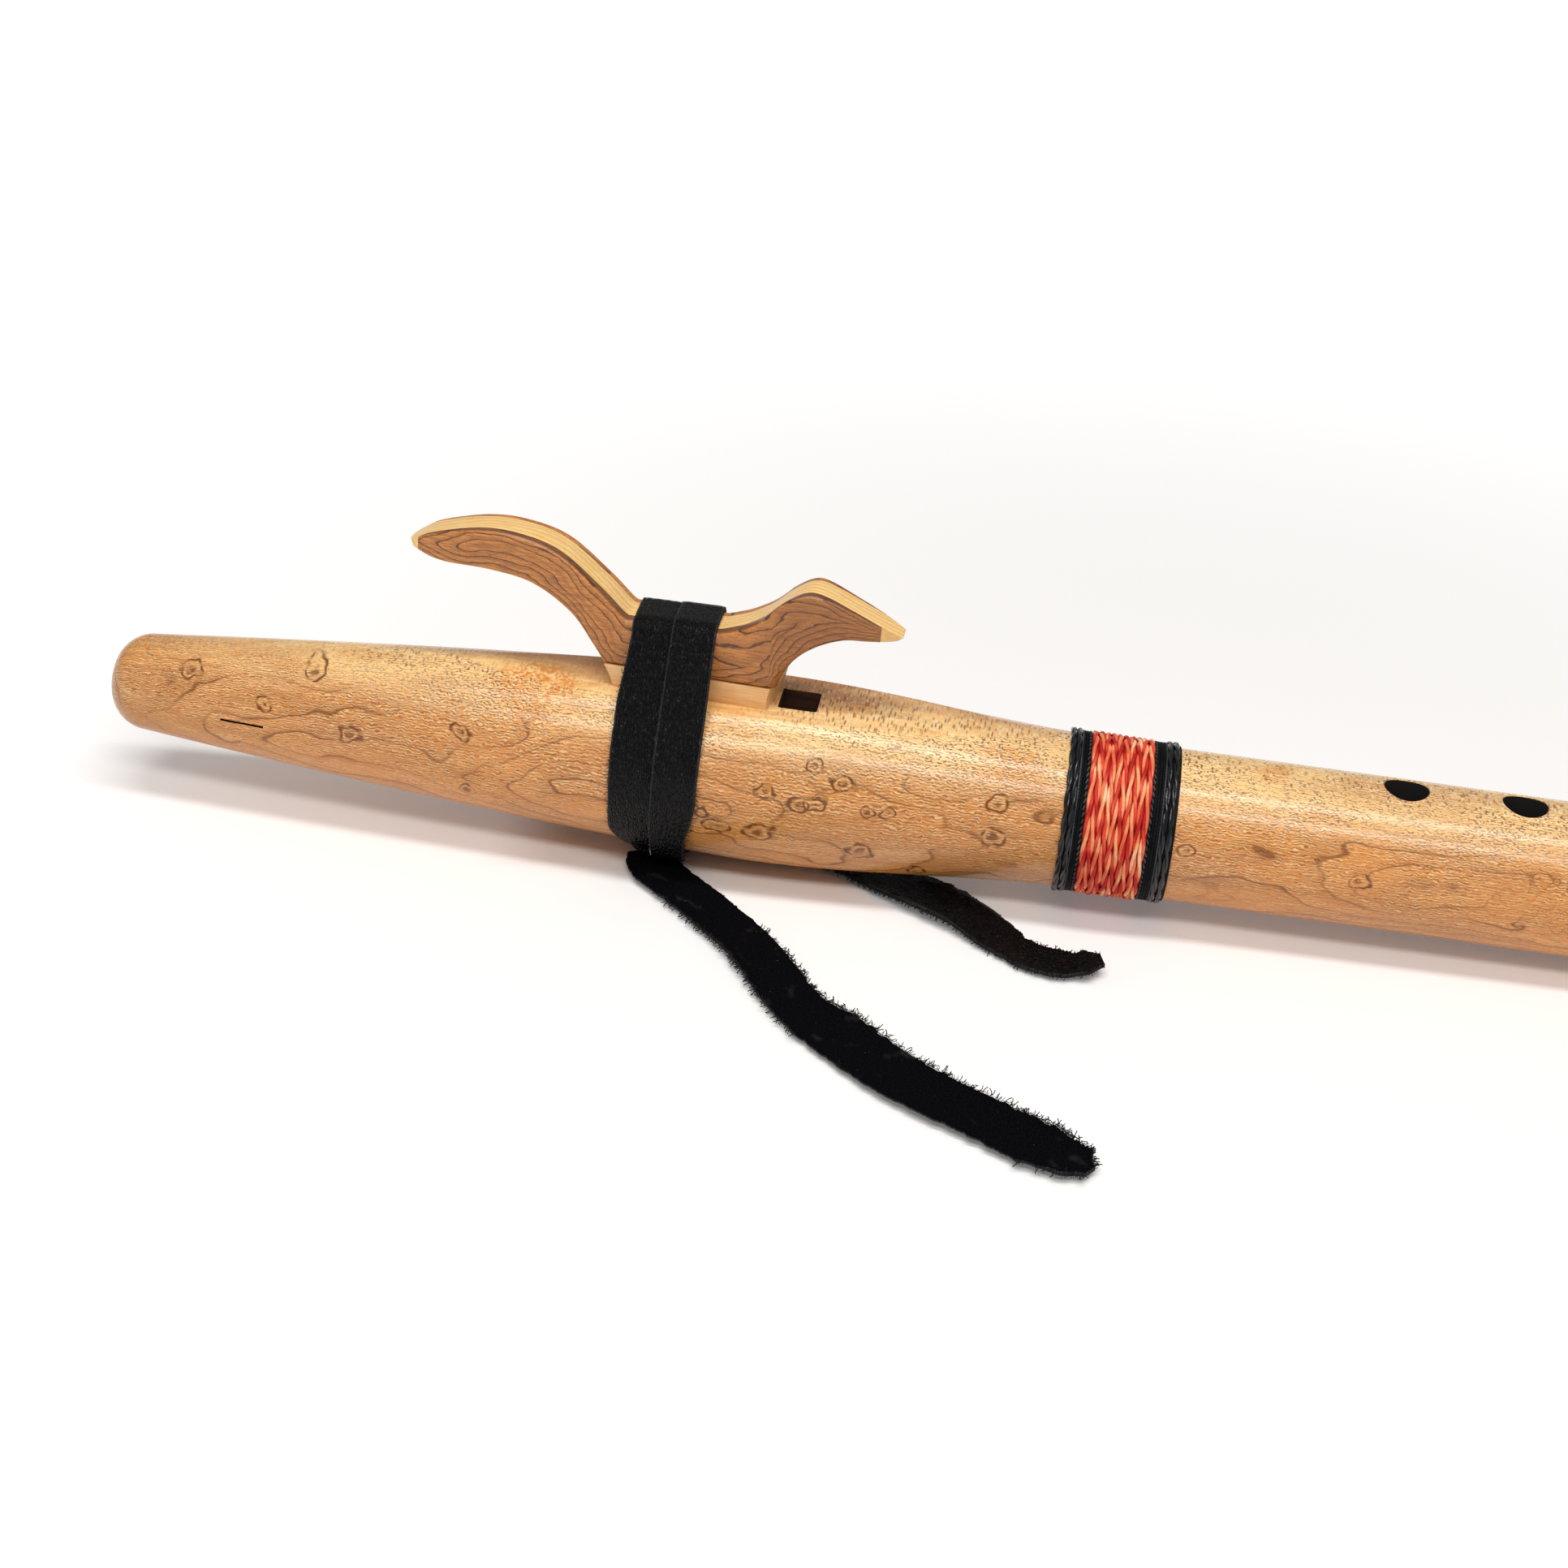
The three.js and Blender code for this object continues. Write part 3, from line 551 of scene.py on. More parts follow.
def lace_finish(name, worn_edge, gloss):
    """The lace's smooth side: black, pebbled, with long wrinkles that run along it and paler worn edges."""
    material, shader = new_finish(name)
    along = ply_place("lace")
    wander = add_node("ShaderNodeTexNoise", {"Vector": along, "Scale": 0.5, "Detail": 2.0}).outputs["Color"]
    loose = vector_math("ADD", along, vector_math("SCALE", wander, scale=0.9))
    pebble_and_sheen = ramp(cell_distance(loose, 0.72, 1.75, 1.0, feature="DISTANCE_TO_EDGE"), 0.02, 0.3)
    wrinkles = grain(loose, (0.34, 1.6, 1.0), 2.0, 0.6)
    across = split(along)[1]
    worn = ramp(calc("ABSOLUTE", across), worn_edge, worn_edge + 0.15, 0.0, 0.7)
    dust = grain(along, (1.4, 1.4, 1.0), 0.0)
    # Painted highlight and shade: wrinkle crests and pebbles painted paler, valleys darker.
    colour = mixed(ramp(wrinkles, 0.35, 0.7), (0.0008, 0.0008, 0.0012), (0.0022, 0.0022, 0.003))
    colour = painted(
        colour,
        (product(pebble_and_sheen, 0.75), (0.0038, 0.004, 0.0055)),
        (ramp(dust, 0.86, 0.9, 0.0, 0.5), (0.3, 0.3, 0.3)),
        (worn, (0.035, 0.035, 0.038)),
    )
    height = calc("MULTIPLY_ADD", wrinkles, 1.1, product(pebble_and_sheen, 0.5))
    set_shader(shader, colour, 0.31, height, 0.0005, Specular_IOR_Level=gloss)
    return material


def suede_finish(name, colour_a, colour_b):
    """The lace's flesh side and its cut edges: black nap with pale lint caught in it."""
    material, shader = new_finish(name)
    along = ply_place("lace")
    nap = grain(along, (2.6, 2.6, 1.0), 3.0, 0.7)
    patches = grain(along, (0.13, 0.2, 1.0), 2.0)
    speck = ramp(cell_distance(along, 0.8, 0.9, 1.0), 0.085, 0.04)
    lint_share = product(speck, ramp(patches, 0.5, 0.62, 0.0, 0.35))
    colour = mixed(ramp(nap, 0.35, 0.7), colour_a, colour_b)
    colour = painted(
        colour,
        (ramp(patches, 0.6, 0.75, 0.0, 0.25), (0.05, 0.05, 0.05)),
        (lint_share, (0.55, 0.55, 0.52)),
    )
    set_shader(shader, colour, 0.95, nap, 0.00025, Specular_IOR_Level=0.02)
    return material


def thread_finish(name, deep, bright, roughness, specular, tip=None):
    """A yarn's ply: fine fibres along it, and dye that takes unevenly."""
    material, shader = new_finish(name)
    along = ply_place("yarn")
    fibres = grain(along, (0.9, 9.0, 1.0), 3.0, 0.65)
    dye = grain(along, (0.12, 0.4, 1.0), 2.0)
    colour = mixed(ramp(dye, 0.42, 0.56), deep, bright)
    if tip is not None:
        colour = mixed(ramp(dye, 0.56, 0.66), colour, tip)
    colour = mixed(ramp(fibres, 0.55, 0.3, 0.0, 0.4), colour, tuple(v * 0.35 for v in deep))
    set_shader(shader, colour, roughness, fibres, 0.00006, Specular_IOR_Level=specular)
    return material


def plain_hair_finish(name, dark, pale):
    material, shader = new_finish(name)
    place = add_node("ShaderNodeTexCoord").outputs["Object"]
    tone = noise_value(place, 900.0, 1.0)
    set_shader(shader, mixed(ramp(tone, 0.35, 0.7), dark, pale), 0.8)
    return material


MAPLE = maple_finish()
BORE_WOOD = bare_wood_finish("drilled_maple", (0.02, 0.01, 0.006), (0.01, 0.005, 0.003), 0.9)
CHARRED = bare_wood_finish("burnt_hole_wall", (0.004, 0.0025, 0.002), (0.0015, 0.001, 0.001), 0.9)
# Dark brown walls of the air holes and the ramp.
AIR_HOLE_WOOD = bare_wood_finish("dark_brown_air_hole", (0.07, 0.025, 0.01), (0.025, 0.01, 0.005), 0.8)
LIGHT_PLY = light_ply_finish("light_ply", (1.0, 0.74, 0.32), (0.98, 0.54, 0.16))
BASE_PLY = light_ply_finish("base_ply", (1.0, 0.63, 0.3), (0.84, 0.45, 0.17))
DARK_PLY = dark_ply_finish()
LACE = lace_finish("lace_grain", 4.6, 0.17)
TAIL_LACE = lace_finish("lace_end_grain", 5.4, 0.1)
SUEDE = suede_finish("lace_suede", (0.001, 0.001, 0.0016), (0.006, 0.006, 0.0078))
# Pale grey: the leather's cut edges and ends, and a painted highlight on the strap's corner strips.
LACE_EDGE = suede_finish("lace_cut_edge_and_highlight", (0.01, 0.01, 0.011), (0.07, 0.07, 0.072))
WAXED_BLACK = thread_finish("waxed_black_thread", (0.003, 0.0035, 0.005), (0.006, 0.0075, 0.011), 0.22, 0.5)
DULL_BLACK = thread_finish("dull_black_thread", (0.002, 0.002, 0.0028), (0.006, 0.006, 0.007), 0.6, 0.12)
GREY_THREAD = thread_finish("grey_thread", (0.03, 0.032, 0.038), (0.07, 0.073, 0.085), 0.5, 0.3)
RED_THREAD = thread_finish(
    "red_thread", (0.5, 0.018, 0.016), (0.8, 0.075, 0.04), 0.5, 0.2, (0.92, 0.27, 0.12),
)
ORANGE_THREAD = thread_finish(
    "orange_thread", (0.86, 0.15, 0.06), (0.98, 0.42, 0.19), 0.5, 0.25, (1.0, 0.62, 0.37),
)
# Painted shade: the dark red that shows between the orange and red yarns, on their under layer.
DEEP_RED_PAINTED_SHADE = thread_finish("deep_red_painted_shade", (0.3, 0.008, 0.006), (0.4, 0.012, 0.008), 0.8, 0.05)
BLACK_HAIR = plain_hair_finish("lace_fibre", (0.001, 0.001, 0.0015), (0.008, 0.008, 0.01))
PALE_HAIR = plain_hair_finish("pale_lint", (0.45, 0.45, 0.42), (0.8, 0.8, 0.76))


# Angles, in degrees, above which faces meet sharply
BODY_SHARP = 26
BLOCK_SHARP = 32
PLAIN_SHARP = 35
LACE_SHARP = 50
TAIL_SHARP = 60


def mesh_object(name, points, faces, edges=()):
    mesh = bpy.data.meshes.new(name)
    mesh.from_pydata([tuple(p) for p in points], edges, faces)
    return new_object(name, mesh)


def shade(mesh, finishes, face_finish, sharp):
    """Gives a mesh its finishes, and smooth faces that meet sharply above an angle in degrees."""
    for finish in finishes:
        mesh.materials.append(finish)
    if face_finish is not None:
        mesh.polygons.foreach_set("material_index", face_finish)
    mesh.polygons.foreach_set("use_smooth", [True] * len(mesh.polygons))
    mesh.set_sharp_from_angle(angle=math.radians(sharp))


def set_map(piece, map_name, values):
    """A UV map from one pair of numbers for each point."""
    layer = piece.data.uv_layers.new(name=map_name)
    corners = [0] * len(piece.data.loops)
    piece.data.loops.foreach_get("vertex_index", corners)
    layer.data.foreach_set("uv", [number for corner in corners for number in values[corner]])


def loft_faces(rings, sides, caps=True, inside_out=False):
    """Quads between rings of points. Rings run so that the faces point outwards, or else inside out."""
    faces = []
    for r in range(rings - 1):
        for s in range(sides):
            a = r * sides + s
            b = r * sides + (s + 1) % sides
            faces.append((a, b, b + sides, a + sides))
    if caps:
        last = (rings - 1) * sides
        faces.append(tuple(range(sides))[::-1])
        faces.append(tuple(range(last, last + sides)))
    return [face[::-1] for face in faces] if inside_out else faces


def loft(name, points, maps, sides, finishes, side_finish, matrix, sharp, caps=True, inside_out=True):
    """A lofted piece. side_finish has each side's finish, and last that of the two ends."""
    faces = loft_faces(len(points) // sides, sides, caps, inside_out)
    kinds = None
    if side_finish:
        kinds = [side_finish[f % sides] for f in range(len(faces) - 2)] + [side_finish[-1]] * 2
    piece = mesh_object(name, points, faces)
    piece.data.transform(matrix)
    shade(piece.data, finishes, kinds, sharp)
    for map_name, values in maps.items():
        set_map(piece, map_name, values)
    return piece


def kept_result(piece):
    """The piece as its modifiers leave it, as a plain mesh of the same name."""
    mesh = bpy.data.meshes.new_from_object(piece.evaluated_get(bpy.context.evaluated_depsgraph_get()))
    name = piece.name
    bpy.data.objects.remove(piece)
    mesh.name = name
    return new_object(name, mesh)


def running_lengths(line):
    """How far along the line each of its points lies."""
    lengths = [0.0]
    for a, b in zip(line, line[1:]):
        lengths.append(lengths[-1] + (b - a).length)
    return lengths


# Lace ends, first of all: flat strips on the table. Their routes are the solids' own, counted from the
# knot's middle.
FRONT_TAIL_ROUTE = [
    (1.2, -14.2), (2.6, -16.2), (4.6, -18.2), (7, -20.4), (9.9, -23), (13.2, -26), (17.5, -30.6),
    (24.9, -39.3), (31.5, -48.9), (36.5, -57.3), (41.9, -64.2), (49.4, -71.1), (56.8, -78.3), (64.3, -84.7),
    (72.1, -89.7), (79, -93.3), (85.9, -97.1), (91.7, -100.4), (97.4, -103.8), (102, -107),
]
REAR_TAIL_ROUTE = [
    (9.2, 5.2), (12.9, 6.7), (17.6, 8.1), (22.8, 8.8), (28.2, 8.4), (33.3, 7), (38.5, 4.7),
    (43.4, 2), (48.4, -1.2), (53.1, -4.8), (58.1, -8.3), (63.3, -11.8), (68.6, -15.3), (74, -19.2),
    (78.7, -23.8), (83.1, -28), (87.7, -31.2), (92.8, -32.7), (98, -32.7), (102.6, -31.5),
]
# The front end's first stretch, which comes out from under the knot
FRONT_TAIL_LEAD = [(-0.9, -7), (-0.3, -10.4)]
TAIL_WIDTH = 12.4
TAIL_THICKNESS = 1.05
TAIL_COLUMNS = 15
TAIL_STEPS = 16
TABLE_GAP = 0.04
FRONT_TAIL_WIDTHS = [
    (0, 7.5), (0.012, 11.2), (0.03, 12.4), (0.2, 11.8), (0.34, 11.2), (0.46, 11.8), (0.56, 15.0),
    (0.68, 14.4),
    (0.84, 13.6), (0.91, 14.2), (0.97, 10.6), (1, 3.6),
]
REAR_TAIL_WIDTHS = [
    (0, 11.6), (0.35, 13.2), (0.56, 13.6), (0.74, 11.6), (0.8, 9.6), (0.9, 10.2), (0.96, 8.4), (1, 4.2),
]
FRONT_TAIL_HEIGHTS = [
    (0, 0.5), (0.05, 0.7), (0.2, 0.1), (0.34, 0.7), (0.5, 0.1), (0.74, 0.5), (0.9, 0.2), (1, 1.2),
]
REAR_TAIL_HEIGHTS = [(0, 1.0), (0.1, 0.3), (0.4, 0.2), (0.62, 1.0), (0.78, 0.3), (0.92, 0.3), (1, 2.2)]
FRONT_TAIL_CURLS = [(0, 0.5), (0.3, 0.7), (0.6, 0.5), (0.8, 0.9), (1, 0.8)]
REAR_TAIL_CURLS = [(0, 0.3), (0.35, 0.4), (0.6, 0.8), (0.8, 0.5), (1, 1.2)]


def smooth_route(points, steps_between):
    """Points on a smooth curve through a route's points."""
    line = []
    last = len(points) - 1
    for i in range(last):
        four = zip(*(points[max(min(i + k, last), 0)] for k in (-1, 0, 1, 2)))
        terms = [(2 * b, c - a, 2 * a - 5 * b + 4 * c - d, 3 * b - a - 3 * c + d) for a, b, c, d in four]
        for t in (step / steps_between for step in range(steps_between)):
            line.append(tuple(0.5 * (k0 + k1 * t + k2 * t * t + k3 * t ** 3) for k0, k1, k2, k3 in terms))
    line.append(points[-1])
    return line


def lace_tail(name, route, tables, finishes, seed):
    """A strip of lace on the table, with ragged edges, and the two edge lines that its fibres grow from."""
    line = [Vector((*p, 0)) for p in smooth_route(route, TAIL_STEPS)]
    lengths = running_lengths(line)
    points, maps, centres, edges = [], [], [], ([], [])
    for i, (centre, length) in enumerate(zip(line, lengths)):
        ahead = (line[min(i + 1, len(line) - 1)] - line[max(i - 1, 0)]).normalized()
        side = Vector((-ahead.y, ahead.x, 0))
        width, height, curl = (table_value(table, length / lengths[-1]) for table in tables)
        coarse = [grain_noise(length * 0.45, seed, 3 * k) for k in (0, 1)]
        fine = [grain_noise(length * 2.3, seed, 7 + 3 * k) for k in (0, 1)]
        left, right = (width / 2 + (0.5 * a + 0.4 * b) for a, b in zip(coarse, fine))
        ring = []
        for k in range(TAIL_COLUMNS):
            v = lerp(-right, left, k / (TAIL_COLUMNS - 1))
            edge = abs(v) / (TAIL_WIDTH / 2)
            lift = height + curl * edge ** 2 + 0.16 * (grain_noise(length * 0.3, v * 0.3, seed) + 1)
            round_off = 0.3 * TAIL_THICKNESS * smooth((edge - 0.86) / 0.14)
            ring.append((v, lift + TAIL_THICKNESS - round_off, lift + round_off))
        outline = [(v, top) for v, top, _ in ring[::-1]] + [(v, max(low, TABLE_GAP)) for v, _, low in ring]
        for v, z in outline:
            points.append(centre + side * v + Vector((0, 0, z)))
            maps.append((length, v))
        _, top, low = ring[TAIL_COLUMNS // 2]
        centres.append(KNOT_TO_ROW @ (centre + Vector((0, 0, (top + low) / 2))))
        for lines, reach, outward, (_, _, low) in ((0, left, side, ring[-1]), (1, -right, -side, ring[0])):
            place = centre + side * reach + Vector((0, 0, low + TAIL_THICKNESS / 2))
            edges[lines].append((place, outward))
    face = [0] * (TAIL_COLUMNS - 1) + [2]
    back = [1] * (TAIL_COLUMNS - 1) + [2]
    piece = loft(
        name, points, {"lace": maps}, 2 * TAIL_COLUMNS, finishes, face + back, KNOT_TO_ROW, TAIL_SHARP,
        inside_out=False,
    )
    return piece, centres, edges


def fibre_tree():
    """Fibres that grow sideways from a line: short bent hairs, strewn by a fixed seed."""
    takes = {
        "Geometry": "Geometry", "Spacing": "Float", "Fibre length": "Float", "Fibre radius": "Float",
        "Seed": "Int", "Finish": "Material",
    }
    group, given, results = new_group("edge_fibres", "GeometryNodeTree", takes, {"Geometry": "Geometry"})
    line = out("GeometryNodeMeshToCurve", {0: given["Geometry"]})
    line = out("GeometryNodeResampleCurve", {"Curve": line, "Length": given["Spacing"]}, mode="LENGTH")
    outward = out("GeometryNodeInputNamedAttribute", {"Name": "outward"}, data_type="FLOAT_VECTOR")

    def reach(*shares):
        parts = (product(given["Fibre length"], share) for share in shares)
        return out("ShaderNodeCombineXYZ", dict(enumerate(parts)))

    bend = out("GeometryNodeCurveQuadraticBezier", {
        "Resolution": 4, "Start": (0, 0, 0), "Middle": reach(0.12, 0.1, 0.6), "End": reach(0.55, -0.1, 0.85),
    })
    section = out("GeometryNodeCurvePrimitiveCircle", {"Resolution": 3, "Radius": given["Fibre radius"]})
    hair = out("GeometryNodeCurveToMesh", {"Curve": bend, "Profile Curve": section, "Fill Caps": True})
    lean = out(
        "FunctionNodeRandomValue",
        {"Min": (-0.9, -0.9, -3.1), "Max": (0.9, 0.9, 3.1), "Seed": given["Seed"]},
        data_type="FLOAT_VECTOR",
    )
    chances = {"Min": 0.0, "Max": 1.0, "Seed": given["Seed"]}
    grow = add_node("FunctionNodeRandomValue", chances, data_type="FLOAT").outputs[1]
    grow = calc("MULTIPLY_ADD", calc("POWER", grow, 2.2), 0.85, 0.15)
    facing = out("FunctionNodeAlignRotationToVector", {"Vector": outward}, axis="Z")
    turn = out("FunctionNodeRotateRotation", {"Rotation": facing, "Rotate By": lean}, rotation_space="LOCAL")
    placed = {"Points": line, "Instance": hair, "Rotation": turn, "Scale": grow}
    real = out("GeometryNodeRealizeInstances", {0: out("GeometryNodeInstanceOnPoints", placed)})
    connect(out("GeometryNodeSetMaterial", {"Geometry": real, "Material": given["Finish"]}), results[0])
    return group


def run_tree(piece, node_group, values):
    """Runs a Geometry Nodes tree on a piece and keeps its result."""
    modifier = piece.modifiers.new("tree", "NODES")
    modifier.node_group = node_group
    for item in node_group.interface.items_tree:
        if item.in_out == "INPUT" and item.name in values:
            modifier[item.identifier] = values[item.name]
    return kept_result(piece)


FIBRES = fibre_tree()


def edge_fibres(name, stretches, matrix, spacing, length, radius, seed, finish):
    """Fibres along stretches of lines: (line of places and outward directions, first share, last share)."""
    points, edges, outward = [], [], []
    for line, first_share, last_share in stretches:
        first = int(first_share * len(line))
        line = line[first : max(int(last_share * len(line)), first + 2)]
        edges.extend((len(points) + i, len(points) + i + 1) for i in range(len(line) - 1))
        for place, direction in line:
            points.append(place)
            outward.extend(direction)
    piece = mesh_object(name, points, [], edges)
    attribute = piece.data.attributes.new("outward", "FLOAT_VECTOR", "POINT")
    attribute.data.foreach_set("vector", outward)
    values = {
        "Spacing": spacing, "Fibre length": length, "Fibre radius": radius, "Seed": seed, "Finish": finish,
    }
    piece = run_tree(piece, FIBRES, values)
    piece.data.transform(matrix)
    return piece


front_tail, front_path, (front_left, front_right) = lace_tail(
    "lace_front_end", FRONT_TAIL_LEAD + FRONT_TAIL_ROUTE,
    (FRONT_TAIL_WIDTHS, FRONT_TAIL_HEIGHTS, FRONT_TAIL_CURLS), [SUEDE, TAIL_LACE, LACE_EDGE], 11,
)
rear_tail, rear_path, (rear_left, rear_right) = lace_tail(
    "lace_rear_end", REAR_TAIL_ROUTE, (REAR_TAIL_WIDTHS, REAR_TAIL_HEIGHTS, REAR_TAIL_CURLS),
    [TAIL_LACE, SUEDE, LACE_EDGE], 23,
)
front_fuzz = edge_fibres(
    "lace_front_end_fibres",
    [
        (front_right, 0.26, 0.6), (front_right, 0.34, 0.5), (front_left, 0.42, 1.0),
        (front_left, 0.46, 0.62),
        (front_left, 0.84, 1.0), (front_left, 0.9, 1.0), (front_right, 0.9, 1.0),
    ],
    KNOT_TO_ROW, spacing=0.12, length=1.7, radius=0.12, seed=5, finish=BLACK_HAIR,
)
rear_fuzz = edge_fibres(
    "lace_rear_end_fibres",
    [(rear_right, 0.3, 1.0), (rear_right, 0.35, 0.75), (rear_right, 0.4, 0.7), (rear_left, 0.8, 1.0)],
    KNOT_TO_ROW, spacing=0.12, length=1.4, radius=0.12, seed=9, finish=BLACK_HAIR,
)
for tail, fuzz, path, node in (
    (front_tail, front_fuzz, front_path, "strap_front_tail"),
    (rear_tail, rear_fuzz, rear_path, "strap_rear_tail"),
):
    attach(tail, "flute")
    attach(fuzz, "flute")
    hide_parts(node)


# Body: the outside is turned, then cut by the same tools as the solids, with eased rims.
def body_radius(x):
    if x <= BELLY_STATION:
        share = min(max((BELLY_STATION - x) / (BELLY_STATION - MOUTH_ROUNDING), 0), 1)
        return BELLY_RADIUS - (BELLY_RADIUS - MOUTH_RADIUS) * share ** 1.35
    share = min((x - BELLY_STATION) / (BARREL_STATION - BELLY_STATION), 1)
    return BARREL_RADIUS + (BELLY_RADIUS - BARREL_RADIUS) * ((1 + math.cos(math.pi * share)) / 2) ** 1.5


def turned_tool(name, profile, sides):
    """A closed solid turned about the flute's axis. Its profile's first and last points lie on the axis."""
    (first, _), *rings, (last, _) = profile
    points = [(first, 0, 0)]
    for x, radius in rings:
        for angle in (2 * math.pi * s / sides for s in range(sides)):
            points.append((x, -radius * math.sin(angle), radius * math.cos(angle)))
    points.append((last, 0, 0))
    last_ring = 1 + (len(rings) - 1) * sides
    faces = []
    for s in range(sides):
        after = (s + 1) % sides
        faces.append((1 + after, 1 + s, 0))
        faces.append((last_ring + s, last_ring + after, len(points) - 1))
        for r in range(len(rings) - 1):
            a, b = 1 + r * sides + s, 1 + r * sides + after
            faces.append((b, b + sides, a + sides, a))
    return mesh_object(name, points, faces)


def rings_tool(name, rings):
    """A closed solid from stacked rings, lowest first, each counter-clockwise seen from above."""
    return mesh_object(name, [p for ring in rings for p in ring], loft_faces(len(rings), len(rings[0])))


def box_tool(name, low, high):
    (x0, y0, z0), (x1, y1, z1) = low, high
    points = [(x, y, z) for z in (z0, z1) for x, y in ((x0, y0), (x1, y0), (x1, y1), (x0, y1))]
    faces = [(0, 3, 2, 1), (4, 5, 6, 7), (0, 1, 5, 4), (1, 2, 6, 5), (2, 3, 7, 6), (3, 0, 4, 7)]
    return mesh_object(name, points, faces)


# Each hole's rim is eased: how far it opens, and its height above the wood's surface.
FINGER_HOLE_STEPS = 48
FINGER_HOLE_RIM = [(0.0, -0.55), (0.07, -0.28), (0.2, -0.09), (0.42, 0.03), (0.42, 5.0)]
AIR_HOLE_RIM = [(0.0, -0.3), (0.08, -0.1), (0.24, 0.02), (0.24, 9)]
AIR_HOLE_CORNER_STEPS = 6
EXIT_HOLE_CORNER = 0.9
SOUND_HOLE_CORNER = 0.7


def finger_hole_tool(name, x):
    """A drill with an eased rim that follows the barrel's round top."""
    rings = []
    for out_by, above in [(0.0, None)] + FINGER_HOLE_RIM:
        ring = []
        for angle in (2 * math.pi * s / FINGER_HOLE_STEPS for s in range(FINGER_HOLE_STEPS)):
            reach = FINGER_HOLE_RADIUS + out_by
            dx, dy = reach * math.cos(angle), reach * math.sin(angle)
            surface = math.sqrt(body_radius(x + dx) ** 2 - dy * dy)
            ring.append((x + dx, dy, 0 if above is None else max(surface + above, 0)))
        rings.append(ring)
    return rings_tool(name, rings)


def air_hole_tool(name, start, length, corner):
    """A square hole from the axis up, with small round corners and an eased rim at the nest."""
    half = AIR_HOLE_WIDTH / 2 - corner
    middles = (start + length - corner, half), (start + corner, half)
    middles += (start + corner, -half), (start + length - corner, -half)
    rings = []
    for out_by, z in [(0.0, 0)] + [(opens, NEST_HEIGHT + above) for opens, above in AIR_HOLE_RIM]:
        reach = corner + out_by
        ring = []
        for first, (cx, cy) in enumerate(middles):
            for s in range(AIR_HOLE_CORNER_STEPS + 1):
                angle = (first + s / AIR_HOLE_CORNER_STEPS) * math.pi / 2
                ring.append((cx + reach * math.cos(angle), cy + reach * math.sin(angle), z))
        rings.append(ring)
    return rings_tool(name, rings)


# The body's smoothness: sides round it, and steps of its mouth, belly, barrel and foot
BODY_SIDES = 144
BORE_SIDES = 96
CHAMBER_SIDES = 72
MOUTH_STEPS = 14
BELLY_STEPS = 90
BARREL_STEPS = 40
FOOT_STEPS = 5
# How far a cutting tool reaches beyond the wood
OVERSHOOT = 5
FLAW_LOW = (28.9, -18, -0.55)
FLAW_HIGH = (39.2, -12.2, 0.05)
FINGER_HOLE_STATIONS = [FIRST_FINGER_HOLE + i * FINGER_HOLE_SPACING for i in range(FINGER_HOLES)]
BLOW_HOLE_RIM = BLOW_HOLE_RADIUS + 0.8
BODY_FINISHES = (MAPLE, BORE_WOOD, CHARRED, AIR_HOLE_WOOD)
PLAIN, DRILLED, BURNT, DARK_BROWN = range(len(BODY_FINISHES))


def body_profile():
    profile = [(0, 0)]
    for angle in (i / MOUTH_STEPS * math.pi / 2 for i in range(MOUTH_STEPS + 1)):
        x = MOUTH_ROUNDING * (1 - math.cos(angle))
        profile.append((x, MOUTH_RADIUS - MOUTH_ROUNDING * (1 - math.sin(angle))))
    stations = [lerp(MOUTH_ROUNDING, BARREL_STATION, i / BELLY_STEPS) for i in range(1, BELLY_STEPS + 1)]
    foot = BODY_LENGTH - FOOT_ROUNDING
    stations += [lerp(BARREL_STATION, foot, i / BARREL_STEPS) for i in range(1, BARREL_STEPS + 1)]
    profile += [(x, body_radius(x)) for x in stations]
    for angle in (i / FOOT_STEPS * math.pi / 2 for i in range(1, FOOT_STEPS + 1)):
        x = BODY_LENGTH - FOOT_ROUNDING * (1 - math.sin(angle))
        profile.append((x, BARREL_RADIUS - FOOT_ROUNDING * (1 - math.cos(angle))))
    return profile + [(BODY_LENGTH, 0)]


